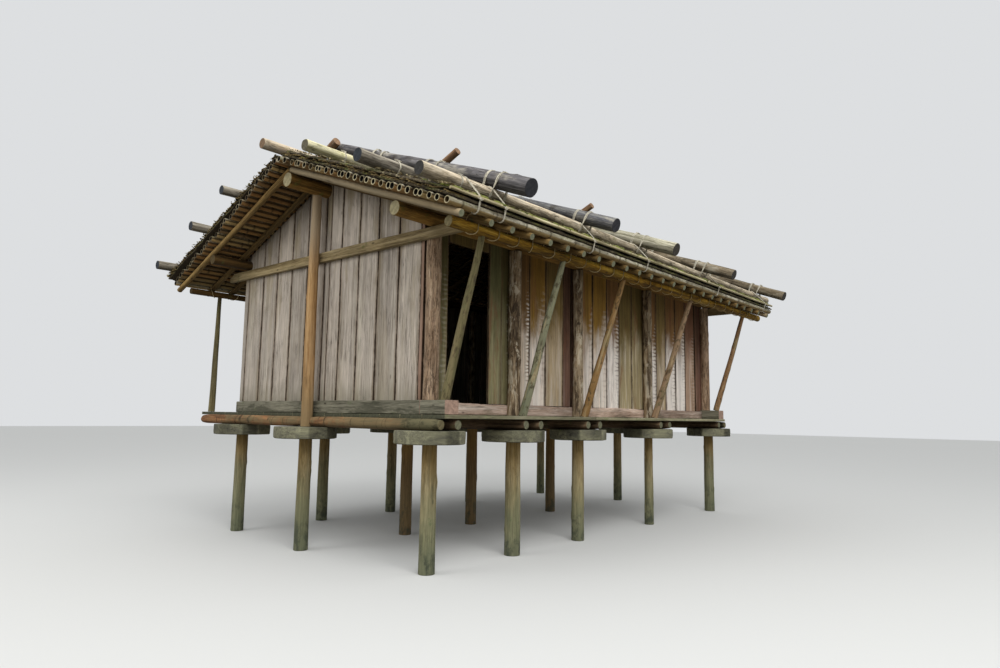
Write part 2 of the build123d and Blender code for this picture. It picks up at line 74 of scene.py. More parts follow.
def solids(name):
    """Corner points of each solid in a CAD node, sorted along x and then y."""
    mesh = nodes[name].data
    co = np.empty(len(mesh.vertices) * 3)
    mesh.vertices.foreach_get("co", co)
    co = co.reshape(-1, 3)
    keys, weld = {}, np.empty(len(co), int)
    for i, p in enumerate(np.round(co, 5)):
        weld[i] = keys.setdefault(tuple(p), len(keys))
    parent = list(range(len(keys)))

    def root(i):
        while parent[i] != i:
            parent[i] = parent[parent[i]]
            i = parent[i]
        return i

    edges = np.empty(len(mesh.edges) * 2, int)
    mesh.edges.foreach_get("vertices", edges)
    for a, b in weld[edges.reshape(-1, 2)]:
        parent[root(a)] = root(b)
    places = np.array(list(keys), float)
    roots = np.array([root(i) for i in range(len(places))])
    groups = [places[roots == r] for r in np.unique(roots)]
    groups.sort(key=lambda g: (round(g[:, 0].mean(), 2), round(g[:, 1].mean(), 2)))
    return groups


def box_of(node):
    """A node's corners in building axes."""
    low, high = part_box(node)
    return np.array(low) - ORIGIN, np.array(high) - ORIGIN


def middle_of(points):
    return (points.min(0) + points.max(0)) / 2


def half_width(points):
    return (points[:, 0].max() - points[:, 0].min()) / 2


def main_axis(points):
    return np.linalg.svd(points - points.mean(0))[2][0]


def in_front(points):
    return points[:, 1].mean() - ORIGIN[1] < RIDGE_Y


def spine(points):
    """Two ends and their radii of a round solid, from its corner points."""
    axis = main_axis(points)
    if axis[np.abs(axis).argmax()] < 0:
        axis = -axis
    along = (points - points.mean(0)) @ axis
    low, high = points[along < along.min() + END_BAND], points[along > along.max() - END_BAND]
    start, end = middle_of(low), middle_of(high)
    axis = unit(end - start)

    def radius(ring, middle):
        off = ring - middle
        off = off - np.outer(off @ axis, axis)
        return np.linalg.norm(off, axis=1).max()

    return start, end, radius(low, start), radius(high, end)


def upright(points, taper=1.0):
    """Foot, head and radii of an upright round solid whose head may be notched."""
    low, high = points[:, 2].min(), points[:, 2].max()
    foot = points[points[:, 2] < low + END_BAND]
    start = middle_of(foot)
    head = start.copy()
    head[2] = high
    radius = half_width(foot)
    return start, head, radius, radius * taper


def brace_line(points):
    """Ends and end radii of a leaning, tapering pole whose ends are cut at an angle."""
    foot = points[points[:, 2] < points[:, 2].min() + 0.002]
    head = points[points[:, 2] > points[:, 2].max() - 0.05]
    start = middle_of(foot)
    axis = unit(middle_of(head) - start)
    reach = ((points - start) @ axis).max()
    return start, start + axis * reach, half_width(foot), half_width(head)


def rafter_line(points):
    """Middle of a rafter from its ridge end to its eave end."""
    axis = main_axis(points)
    if axis[2] > 0:
        axis = -axis
    along = points @ axis
    end = middle_of(points[along > along.max() - END_BAND])
    mitre = 0.02
    return end - axis * (along.max() - along.min() - mitre), end


def slope_down(front):
    """Direction out of a roof slope's underside, from the run of its rafters."""
    start, end = rafter_line(solids("front_rafters" if front else "back_rafters")[0])
    down = np.cross(unit(end - start), ALONG)
    return down if down[2] < 0 else -down


def slope_frame(points):
    """A flat roof layer: its top corner, down and out directions, thickness, reach and two ends."""
    low, high = points.min(0), points.max(0)
    tips = points[np.abs(points[:, 0] - low[0]) < 1e-4]
    top = tips[tips[:, 2].argmax()]
    lengths = [np.linalg.norm(p - top) for p in tips]
    nearest = np.argsort(lengths)[1]
    thickness = lengths[nearest]
    out = (top - tips[nearest]) / thickness
    down = np.cross(out, ALONG)
    if down[2] > 0:
        down = -down
    reach = ((tips - top) @ down).max()
    return top, down, out, thickness, reach, low[0], high[0]


def poles_of(node):
    return [spine(points) for points in solids(node)]


# Building of meshes

def rng_for(key):
    """Random numbers that stay the same from run to run."""
    seed = 7
    for letter in key:
        seed = (seed * 131 + ord(letter)) % (2**31)
    return np.random.default_rng(seed)


def wave(rng, cycles, size, n=3):
    """A smooth random function of one number, with values of about the given size."""
    f = cycles * (1 + np.arange(n)) * rng.uniform(0.7, 1.3, n)
    phase = rng.uniform(0, WHOLE_TURN, n)
    gain = size * rng.uniform(0.5, 1, n) / (1 + np.arange(n))
    return lambda t: (gain * np.sin(WHOLE_TURN * f * np.asarray(t)[..., None] + phase)).sum(-1)


class Piece:
    """One joined mesh, with the marks that its material reads at every point.

    loc is the place along, across and up in the part's own grain direction, and look holds a
    random number for the part, the share of its length, 1 on a cut end, and a mark of its own.
    """

    def __init__(self, name):
        self.name = name
        self.co, self.loc, self.look, self.quads, self.tris = [], [], [], [], []
        self.count = 0

    def add(self, co, loc, look, quads, tris=None):
        self.co.append(np.asarray(co, np.float32))
        self.loc.append(np.asarray(loc, np.float32))
        self.look.append(np.asarray(look, np.float32))
        self.quads.append(np.asarray(quads, np.int64) + self.count)
        if tris is not None:
            self.tris.append(np.asarray(tris, np.int64) + self.count)
        self.count += len(co)

    def done(self, material, slot, replaces=(), angle=40):
        co = np.concatenate(self.co)
        quads = np.concatenate(self.quads)
        tris = np.concatenate(self.tris) if self.tris else np.zeros((0, 3), np.int64)
        mesh = bpy.data.meshes.new(self.name)
        mesh.vertices.add(len(co))
        mesh.vertices.foreach_set("co", co.ravel())
        loops = np.concatenate([quads.ravel(), tris.ravel()])
        mesh.loops.add(len(loops))
        mesh.loops.foreach_set("vertex_index", loops.astype(np.int32))
        starts = np.concatenate([np.arange(len(quads)) * 4, len(quads) * 4 + np.arange(len(tris)) * 3])
        mesh.polygons.add(len(starts))
        mesh.polygons.foreach_set("loop_start", starts.astype(np.int32))
        mesh.update(calc_edges=True)
        mesh.validate()
        loc = mesh.attributes.new("loc", "FLOAT_VECTOR", "POINT")
        loc.data.foreach_set("vector", np.concatenate(self.loc).ravel())
        look = mesh.attributes.new("look", "FLOAT_COLOR", "POINT")
        look.data.foreach_set("color", np.concatenate(self.look).ravel())
        mesh.materials.append(material)
        mesh.shade_smooth()
        mesh.set_sharp_from_angle(angle=math.radians(angle))
        piece = bpy.data.objects.new(self.name, mesh)
        bpy.context.scene.collection.objects.link(piece)
        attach(piece, "root")
        if replaces:
            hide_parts(*replaces)


def ring_quads(rings, n, closed=False):
    """Faces between rings of n points each, and from the last ring to the first if closed."""
    row = np.arange(rings if closed else rings - 1)[:, None]
    k = np.arange(n)
    m = (k + 1) % n
    near, far = row * n, (row + 1) % rings * n
    return np.stack([near + k, near + m, far + m, far + k], -1).reshape(-1, 4)


def fan(start, n, flip):
    """Faces that close a ring of n points."""
    faces = [(start, start + k, start + k + 1) for k in range(1, n - 1)]
    return [face[::-1] for face in faces] if flip else faces


def sweep(piece, places, side, up, sections, rnd, mark=0.0, chamfer=0.003, slants=(0.0, 0.0)):
    """Closed form through rings of points, with one pair of directions for all its rings.

    sections holds the points, as an array of rings by points by two. slants tips the rings
    across their width, by its first number at the start and by its second at the end.
    """
    places, sections = np.asarray(places, float), np.asarray(sections, float)
    side, up = np.asarray(side, float), np.asarray(up, float)
    rings, n = sections.shape[:2]
    lengths = np.concatenate([[0], np.cumsum(np.linalg.norm(np.diff(places, axis=0), axis=1))])
    mark = np.broadcast_to(np.asarray(mark, float), (rings, n))
    forward = np.cross(side, up)
    shear = slants[0] + (slants[1] - slants[0]) * np.linspace(0, 1, rings)
    size = np.abs(sections[0] - sections[0].mean(0)).max()
    edge = max(0.5, 1 - chamfer / max(size, 1e-6))
    # each row: which ring, its scale, its shift along, and 1 on a cut end
    plan = [(0, share, 0, 1.0) for share in (*CAP_SHARES, edge)] + [(0, 1.0, chamfer, 0.0)]
    plan += [(i, 1.0, 0, 0.0) for i in range(1, rings - 1)] + [(rings - 1, 1.0, -chamfer, 0.0)]
    plan += [(rings - 1, share, 0, 1.0) for share in (edge, *CAP_SHARES[::-1])]
    i, scale, shift, end = (np.array(column) for column in zip(*plan))
    middle = np.array([section.mean(0) for section in sections])[i][:, None]
    sec = (sections[i] - middle) * scale[:, None, None] + middle
    at = lengths[i] + shift
    mid = places[i] + np.outer(shift, forward)
    tipped = side + np.outer(shear[i], forward)
    co = mid[:, None] + sec[..., :1] * tipped[:, None] + sec[..., 1:] * up
    loc = np.concatenate([np.broadcast_to(at[:, None, None], (len(i), n, 1)), sec], -1)
    look = np.empty((len(i), n, 4))
    look[..., 0] = rnd
    look[..., 1] = np.clip(at / max(lengths[-1], 1e-6), 0, 1)[:, None]
    look[..., 2] = end[:, None]
    look[..., 3] = mark[i]
    co, loc, look = co.reshape(-1, 3), loc.reshape(-1, 3), look.reshape(-1, 4)
    total = len(co)
    co = np.concatenate([co, [co[:n].mean(0), co[-n:].mean(0)]])
    loc = np.concatenate([loc, [loc[:n].mean(0), loc[-n:].mean(0)]])
    look = np.concatenate([look, [look[0], look[-n]]])
    k = np.arange(n)
    m = (k + 1) % n
    tris = np.concatenate([np.column_stack([np.full(n, total), m, k]),
                           np.column_stack([np.full(n, total + 1), total - n + k, total - n + m])])
    piece.add(co, loc, look, ring_quads(len(i), n), tris)


def directions(start, end):
    """Unit vectors along, across and up for a straight part, and its length."""
    axis = end - start
    length = np.linalg.norm(axis)
    axis = axis / length
    hint = ALONG if abs(axis[2]) > 0.95 else np.array([0, 0, 1.0])
    side = unit(np.cross(hint, axis))
    return axis, side, np.cross(axis, side), length


def log(piece, start, end, r0, r1, rng, sides, step, bend, lump, knots, tips=(0.0, 0.0), tip_run=0.05,
        flat=None, rnd=None):
    """Round timber with a slight bend, an uneven girth, and knots."""
    start, end = np.asarray(start, float), np.asarray(end, float)
    axis, side, up, length = directions(start, end)
    rings = max(4, int(length / step) + 1)
    t = np.linspace(0, 1, rings)
    fade = np.sin(math.pi * t) ** 0.5
    wx, wy = wave(rng, 0.7, bend), wave(rng, 0.7, bend)
    places = start + np.outer(t * length, axis) + np.outer(wx(t) * fade, side) + np.outer(wy(t) * fade, up)
    angles = round_angles(sides)
    turn = rng.uniform(0, 6.28)
    shape = np.ones((rings, sides))
    for k in (2, 3, 5):
        gain = wave(rng, length * 0.35, lump / k ** 0.5)(t)
        phase = turn * k + wave(rng, length * 0.2, 0.6)(t)
        shape += gain[:, None] * np.cos(k * angles[None] + phase[:, None])
    shape += wave(rng, length * 0.9, lump * 0.5)(t)[:, None]
    marks = np.zeros((rings, sides))
    for _ in range(knots):
        kt, ka = rng.uniform(0.05, 0.95), rng.uniform(0, WHOLE_TURN)
        near = np.exp(-((t - kt) * length / KNOT_REACH) ** 2)[:, None]
        around = np.exp(-(np.angle(np.exp(1j * (angles - ka))) / KNOT_SPREAD) ** 2)[None]
        shape += KNOT_RISE * near * around
        marks = np.maximum(marks, near * around)
    r = (r0 + (r1 - r0) * t)[:, None] * shape
    for tip, run in zip(tips, (t, 1 - t)):
        r *= 1 - tip * np.exp(-run * length / tip_run)[:, None]
    sections = np.stack([r * np.cos(angles), r * np.sin(angles)], -1)
    if flat is not None:
        sections[..., 1] = np.clip(sections[..., 1], -flat, flat)
    sweep(piece, places, side, up, sections, rng.random() if rnd is None else rnd, marks)


def rounded(width, height, bevel, n_side):
    """Outline of a board with eased edges, and more points along its wide sides."""
    w, h, b = width / 2, height / 2, min(bevel, height / 3, width / 3)
    top = [(x, h) for x in np.linspace(w - b, -w + b, n_side)]
    bottom = [(x, -h) for x in np.linspace(-w + b, w - b, n_side)]
    left = [(-w, h - b), (-w, -h + b)]
    right = [(w, -h + b), (w, h - b)]
    return np.array(top + left + bottom + right)


def board(piece, start, end, width, thickness, rng, out, bevel, wobble, step, n_side, cup=0.0, marked=False,
          slants=(0.0, 0.0), rnd=None):
    """Sawn board with its face towards out. A marked one knows the share across it."""
    start, end, out = (np.asarray(a, float) for a in (start, end, out))
    length = np.linalg.norm(end - start)
    axis = (end - start) / length
    up = unit(out - axis * (out @ axis))
    rings = max(3, int(length / step) + 1)
    t = np.linspace(0, 1, rings)
    base = rounded(width, thickness, bevel, n_side)
    left, right = wave(rng, length * 0.8, wobble), wave(rng, length * 0.8, wobble)
    sections = np.repeat(base[None], rings, 0)
    sections[..., 0] += np.where(base[None, :, 0] < 0, left(t)[:, None], right(t)[:, None])
    sections[..., 1] += cup * ((sections[..., 0] / (width / 2)) ** 2 - 0.5)
    sweep(piece, start + np.outer(t * length, axis), np.cross(up, axis), up, sections,
          rng.random() if rnd is None else rnd, 0.5 + base[:, 0] / width if marked else 0.0,
          min(0.002, thickness / 5), slants)


def tube(piece, path, radius, rnd, sides=6, closed=True):
    """Round strand along a list of places."""
    path = np.asarray(path, float)
    count = len(path)
    ahead = np.roll(path, -1, 0) - np.roll(path, 1, 0)
    if not closed:
        ahead[0], ahead[-1] = path[1] - path[0], path[-1] - path[-2]
    ahead /= np.linalg.norm(ahead, axis=1)[:, None]
    side = unit(np.cross(ahead[0], [0.3, 0.2, 0.9]))
    angles = round_angles(sides)
    rows = []
    for i in range(count):
        side = unit(side - ahead[i] * (side @ ahead[i]))
        up = np.cross(ahead[i], side)
        rows.append(path[i] + radius * (np.outer(np.cos(angles), side) + np.outer(np.sin(angles), up)))
    step = np.linalg.norm(np.diff(path, axis=0, append=path[:1]), axis=1)
    at = np.concatenate([[0], np.cumsum(step)[:-1]])
    loc = np.stack([np.repeat(at[:, None], sides, 1), np.tile(np.cos(angles) * radius, (count, 1)),
                    np.tile(np.sin(angles) * radius, (count, 1))], -1)
    look = np.zeros((count, sides, 4))
    look[..., 0] = rnd
    look[..., 1] = (at / max(at[-1], 1e-6))[:, None]
    look[..., 3] = angles / WHOLE_TURN
    tris = None if closed else fan(0, sides, True) + fan((count - 1) * sides, sides, False)
    piece.add(np.concatenate(rows), loc.reshape(-1, 3), look.reshape(-1, 4),
              ring_quads(count, sides, closed), tris)


# Nodes of materials

def lin(code):
    """Linear colour from a written one."""
    values = [int(code[i:i + 2], 16) / 255 for i in (1, 3, 5)]
    return [v / 12.92 if v <= 0.04045 else ((v + 0.055) / 1.055) ** 2.4 for v in values] + [1.0]


def stops(tones, low=0.0, width=1.0):
    """Tones written in one line, set evenly over a ramp."""
    tones = tones.split()
    return [(low + width * i / (len(tones) - 1), tone) for i, tone in enumerate(tones)]


PART_SHIFT = (61.0, 37.0, 19.0)     # so far apart that no two parts share a pattern


class Shade:
    """A material's node tree, with short calls for the nodes used here.

    rnd, along, end and mark are what look holds at a point, raw is its loc, loc the same moved
    apart for each part, and place, x, y and z are its place on the object.
    """

    def __init__(self, name):
        self.material = bpy.data.materials.new(name)
        self.material.use_nodes = True
        self.tree = self.material.node_tree
        self.bsdf = self.tree.nodes["Principled BSDF"]
        self.bsdf.inputs["Specular IOR Level"].default_value = 0.25
        look = self.node("Attribute", attribute_name="look")
        self.rnd, self.along, self.end = self.node("SeparateColor", look.outputs["Color"]).outputs
        self.mark = look.outputs["Alpha"]
        self.raw = self.node("Attribute", attribute_name="loc").outputs["Vector"]
        apart = self.vector("MULTIPLY", self.combine(self.rnd, self.rnd, self.rnd), PART_SHIFT)
        self.loc = self.vector("ADD", self.raw, apart)
        self.place = self.node("TexCoord").outputs["Object"]
        self.x, self.y, self.z = self.node("SeparateXYZ", self.place).outputs
        self.l, self.u, self.v = self.node("SeparateXYZ", self.raw).outputs

    def put(self, socket, value):
        """Give an input a link, a written colour or a number."""
        if isinstance(value, bpy.types.NodeSocket):
            self.tree.links.new(value, socket)
        else:
            socket.default_value = lin(value) if isinstance(value, str) else value

    def node(self, kind, *inputs, **settings):
        """A new node, with its settings and its first inputs."""
        node = self.tree.nodes.new("ShaderNode" + kind)
        for key, setting in settings.items():
            setattr(node, key, setting)
        for socket, value in zip(node.inputs, inputs):
            self.put(socket, value)
        return node

    def facing_up(self):
        """The upward share of the surface's own direction."""
        return self.node("SeparateXYZ", self.node("NewGeometry").outputs["Normal"]).outputs[2]

    def math(self, operation, a, b=0.0):
        return self.node("Math", a, b, operation=operation).outputs[0]

    def plus(self, a, b):
        return self.math("ADD", a, b)

    def minus(self, a, b):
        return self.math("SUBTRACT", a, b)

    def times(self, a, b):
        return self.math("MULTIPLY", a, b)

    def sway(self, value, gain):
        """A number that runs from 0 to 1, moved to run about 0, times a gain."""
        return self.times(self.minus(value, 0.5), gain)

    def vector(self, operation, a, b=(0, 0, 0)):
        node = self.node("VectorMath", a, b, operation=operation)
        return node.outputs["Value"] if operation == "LENGTH" else node.outputs[0]

    def combine(self, x, y, z):
        return self.node("CombineXYZ", x, y, z).outputs[0]

    def off_heart(self):
        """How far a point lies from the middle of its log."""
        return self.vector("LENGTH", self.combine(0.0, self.u, self.v))

    def noise(self, scale, detail=4.0, rough=0.55, distort=0.0, stretch=None, on=None):
        vector = self.loc if on is None else on
        node = self.node("TexNoise", self.vector("MULTIPLY", vector, stretch) if stretch else vector)
        numbers = {"Scale": scale, "Detail": detail, "Roughness": rough, "Distortion": distort}
        for key, number in numbers.items():
            node.inputs[key].default_value = number
        return node.outputs["Fac"]

    def cells(self, scale, stretch):
        node = self.node("TexVoronoi", self.vector("MULTIPLY", self.loc, stretch))
        node.inputs["Scale"].default_value = scale
        return node.outputs["Distance"]

    def span(self, value, low, high, to_low=0.0, to_high=1.0):
        """A number that goes smoothly from one to another while a value goes from low to high."""
        smooth = dict(interpolation_type="SMOOTHSTEP")
        return self.node("MapRange", value, low, high, to_low, to_high, **smooth).outputs[0]

    def line(self, noise, width, share):
        """Thin lines where a noise crosses its middle."""
        return self.span(self.math("ABSOLUTE", self.minus(noise, 0.5)), 0.0, width, share, 0.0)

    def ramp(self, value, stops, constant=False):
        node = self.node("ValToRGB", value)
        points = node.color_ramp.elements
        node.color_ramp.interpolation = "CONSTANT" if constant else "LINEAR"
        for i, (place, colour) in enumerate(stops):
            point = points[i] if i < 2 else points.new(place)
            point.position = place
            point.color = lin(colour) if isinstance(colour, str) else colour
        return node.outputs[0]

    def mix(self, share, a, b):
        node = self.node("Mix", share, data_type="RGBA")
        first_colour = 6
        self.put(node.inputs[first_colour], a)
        self.put(node.inputs[first_colour + 1], b)
        return node.outputs[2]

    def stain(self, colour, tone, field, low, high, share=1.0, rest=0.0, where=None):
        """A tone over a colour: its share where a field is high, the rest where it is low."""
        amount = self.span(field, low, high, rest, share)
        return self.mix(amount if where is None else self.times(amount, where), colour, tone)

    def bright(self, colour, gain):
        """A colour times a number."""
        return self.vector("MULTIPLY", colour, self.combine(gain, gain, gain))

    def shade(self, colour, field, low, high, dark, light):
        """A colour times a number that runs from dark to light with a field."""
        return self.bright(colour, self.span(field, low, high, dark, light))

    def finish(self, colour, rough, height, depth):
        self.put(self.bsdf.inputs["Base Color"], colour)
        self.put(self.bsdf.inputs["Roughness"], rough)
        bump = self.node("Bump")
        bump.inputs["Strength"].default_value = 1.0
        bump.inputs["Distance"].default_value = depth
        self.put(bump.inputs["Height"], height)
        self.put(self.bsdf.inputs["Normal"], bump.outputs[0])
        return self.material


YEAR_RINGS = 900.0          # how fast the rings on a cut end follow each other
CRACK, KNOT = "#1c150d", "#231a10"
DRY_WOOD = 0.86             # roughness


def wood(name, tones, end_tones="#8f8670 #4a4232", grain=42.0, stretch=0.07, spread=0.18, contrast=1.0,
         moss=0.0, moss_tone="#5c6238", foot=(), knots=0.75, depth=0.0016, extra=None, checks=0.6,
         pale="#cfc6b4", pale_share=0.0, under=0.6, blots=0.2):
    """Weathered timber. tones run from dark to light across the grain.

    foot lists stains low down, each with two heights, a tone and a share. checks is the share of
    the drying cracks, under sets the painted shade on what faces down, and extra adds a look of its own.
    """
    s = Shade(name)
    fine = s.noise(grain * 4, 3, 0.6, 0.4, (stretch, 1.0, 1.0))
    broad = s.noise(grain * 0.55, 4, 0.6, 0.8, (stretch * 0.7, 1.0, 1.0))
    value = s.plus(s.times(fine, 0.5 * contrast), s.times(broad, 0.8 * contrast))
    value = s.minus(value, 0.65 * contrast - 0.5)
    colour = s.ramp(value, stops(tones, 0.2, 0.6))
    if pale_share:
        streak = s.noise(grain * 0.4, 3, 0.6, 0.2, (stretch * 0.4, 1.0, 1.0))
        colour = s.stain(colour, pale, streak, 0.52, 0.72, pale_share)
    crack = s.line(s.noise(grain * 1.6, 2, 0.5, 0.6, (stretch * 0.35, 1.0, 1.0)), 0.028, 1.0)
    crack = s.times(crack, s.span(s.noise(2.3, 3, 0.6), 0.42, 0.6, 0.0, checks))
    colour = s.mix(crack, colour, CRACK)
    colour = s.bright(colour, s.plus(s.sway(s.rnd, spread * 2), 1.0))
    blot = s.noise(4.2, 5, 0.7, 0.3, (0.35, 1.0, 1.0))
    colour = s.shade(colour, blot, 0.28, 0.72, 1 - blots, 1 + blots)
    if knots:
        colour = s.stain(colour, KNOT, s.cells(5.2, (0.55, 1.3, 1.3)), 0.03, 0.085, 0.0, 1.0, knots)
    for low, high, tone, share in foot:
        level = s.plus(s.z, s.sway(blot, 0.7))
        colour = s.stain(colour, tone, level, low, high, 0.0, 1.0, share)
    if moss:
        patch = s.noise(7.0, 5, 0.7, 0.2, on=s.place)
        colour = s.stain(colour, moss_tone, patch, 0.62 - moss * 0.2, 0.72 - moss * 0.1, 0.8)
    if extra:
        colour = extra(s, colour)
    # painted shade: faces that point down keep only the share under of their colour
    colour = s.shade(colour, s.facing_up(), -0.85, -0.15, under, 1.0)
    wobble = s.times(s.noise(14.0, 2, on=s.raw), 9.0)
    turns = s.math("SINE", s.plus(s.times(s.off_heart(), YEAR_RINGS), wobble))
    light, dark = end_tones.split()
    cut = s.stain(dark, light, turns, -1.0, 1.0, 0.7, 0.1)
    cut = s.shade(cut, s.noise(30.0, 3, on=s.raw), 0.3, 0.7, 0.72, 1.12)
    colour = s.mix(s.end, colour, cut)
    height = s.minus(s.plus(s.times(fine, 0.6), s.times(broad, 0.6)), s.times(crack, 1.2))
    return s.finish(colour, DRY_WOOD, height, depth)


def litter_shade(name, tones):
    s = Shade(name)
    veins = s.noise(90.0, 3, 0.6, 0.2, (0.3, 1, 1))
    colour = s.shade(s.ramp(s.rnd, stops(tones)), veins, 0.3, 0.7, 0.7, 1.15)
    return s.finish(colour, 0.9, veins, 0.001)


def bamboo():
    """Weathered culms: grey-tan outside, browner below, painted shade along the sides where they touch, pale
    rims on some ends.
    """
    s = Shade("dry_bamboo")
    streak = s.noise(110.0, 3, 0.6, 0.2, (0.03, 1, 1))
    tint = s.ramp(s.rnd, [(0.0, "#665031"), (0.18, "#a17c4b"), (0.36, "#805d34"), (0.52, "#ad9564"),
                          (0.68, "#6b573a"), (0.84, "#977040"), (1.0, "#8c8159")])
    colour = s.shade(tint, streak, 0.25, 0.75, 0.6, 1.25)
    height = s.math("DIVIDE", s.v, s.math("MAXIMUM", s.off_heart(), 0.001))
    grey = s.stain("#857f6a", "#d6d0bb", s.noise(20.0, 3, 0.6, 0, (0.1, 1, 1)), 0.35, 0.65)
    grey = s.stain(grey, "#443e2f", s.noise(24.0, 5, 0.75, 0.4, (0.4, 1, 1)), 0.51, 0.6, 0.8)
    grey = s.stain(grey, "#7b7f52", s.noise(9.0, 4, 0.7, on=s.place), 0.5, 0.6, 0.45)
    open_side = s.times(s.minus(1.0, s.along), 0.75)
    colour = s.stain(colour, grey, s.plus(height, open_side), 0.15, 0.6, 0.9)
    # painted shade: dark bands along the sides of a culm with neighbours, where they touch
    colour = s.stain(colour, "#1c140a", s.math("ABSOLUTE", height), 0.05, 0.42, 0.0, 0.85, s.along)
    colour = s.stain(colour, "#281d0f", s.noise(6.0, 4, 0.7, 0.3, (0.5, 1, 1)), 0.52, 0.74, 0.75)
    colour = s.stain(colour, "#2b200e", s.end, 0.0, 0.3, 0.0, 0.75, s.mark)
    rim = s.mix(s.mark, "#544631", "#d2c69e")
    rim = s.shade(rim, s.noise(60.0, 3, on=s.raw), 0.3, 0.7, 0.7, 1.15)
    # painted shade: the bore's inside is near black on most culms; on some it is brown dirt
    inner = s.stain("#0d0a06", "#4a3c24", s.rnd, 0.78, 0.80)
    inner = s.shade(inner, s.noise(40.0, 3, on=s.raw), 0.3, 0.7, 0.6, 1.3)
    cut = s.stain(inner, rim, s.end, 0.76, 0.98)
    return s.finish(s.stain(colour, cut, s.end, 0.3, 0.5), 0.72, streak, 0.001)


def thatch():
    """Rotted cover, brown in the depths, mossy and strewn with pale bits on top, near black on its underside
    and edge, partly a dark sheet and partly painted shade.
    """
    s = Shade("rotted_cover")
    strands = s.noise(60.0, 5, 0.7, 1.0, (1, 0.2, 1))
    colour = s.ramp(strands, [(0.28, "#1f1a10"), (0.48, "#40372a"), (0.64, "#675c44"), (0.82, "#958a6c")])
    green = s.stain("#4e522c", "#868646", s.noise(24.0, 4, 0.7, on=s.place), 0.4, 0.66)
    colour = s.stain(colour, green, s.noise(3.4, 6, 0.72, 0.4, on=s.place), 0.46, 0.62, 0.8)
    grit = s.noise(38.0, 5, 0.7, on=s.place)
    colour = s.stain(colour, "#a39a78", grit, 0.55, 0.65, 0.75)
    # partly painted shade: the underside and the edge wall turn near black, partly the dark sheet under the
    # cover and partly shade
    colour = s.mix(s.end, colour, s.ramp(strands, [(0.3, "#161008"), (0.7, "#3d3220")]))
    return s.finish(colour, 0.95, s.plus(strands, grit), 0.006)


def rope(name, dark, light):
    s = Shade(name)
    twist = s.math("SINE", s.plus(s.times(s.l, 700.0), s.times(s.mark, 12.566)))
    colour = s.stain(dark, light, twist, -1.0, 0.4)
    colour = s.shade(colour, s.noise(9.0, 3, on=s.place), 0.3, 0.7, 0.75, 1.1)
    return s.finish(colour, 0.9, twist, 0.0015)


# Looks of each timber

def edges(s, colour):
    """Brown stain along a board's edges, and a dark line at the joint itself."""
    share = s.times(s.math("ABSOLUTE", s.minus(s.mark, 0.5)), 2.0)
    share = s.plus(share, s.sway(s.noise(34.0, 4, 0.7, 0.2, (0.35, 1, 1)), 0.22))
    colour = s.stain(colour, "#6f5a41", share, 0.74, 0.97, 0.5)
    return s.stain(colour, "#33261a", share, 0.93, 1.0, 0.9)


def gable_wear(s, colour):
    """Ochre and olive stain in long patches, more of it high up, over edges that darken."""
    patch = s.noise(3.2, 4, 0.6, 0.2, (0.3, 1.4, 1))
    colour = s.stain(colour, "#8c7c58", patch, 0.48, 0.66, where=s.span(s.z, 2.2, 3.3, 0.25, 0.6))
    colour = s.stain(colour, "#6c6a52", s.z, 1.5, 1.72, 0.0, 0.35)
    colour = s.stain(colour, "#86634e", s.rnd, 0.965, 0.975, 0.8)
    return edges(s, colour)


# Kinds of the long side's boards: tone of the upper part with painted eave shade in it, tone of the
# weathered lower part, share of pale saw marks along one edge, and share of bleached streaks
BOARD_TONES = (
    ("#8a6a36", "#c1ac92", 0.2, 0.5),
    ("#93702f", "#eadccd", 0.3, 1.0),
    ("#806a3c", "#b19d7e", 0.0, 0.35),
    ("#553c2d", "#77594a", 0.0, 0.1),
    ("#6c5b31", "#a69773", 0.0, 0.4),
    ("#84623a", "#f1e8df", 0.85, 1.0),
    ("#73503a", "#b0937c", 0.2, 0.4),
    ("#57502e", "#7a7350", 0.14, 0.1),
    ("#66643f", "#8c8561", 0.0, 0.1),
    ("#7d5d33", "#d6c5b1", 1.0, 0.9),
)
TAN, AMBER, OLIVE_TAN, PURPLE, OLIVE, WHITE, BROWN, JAMB, FAR_JAMB, TOOTHED = range(10)


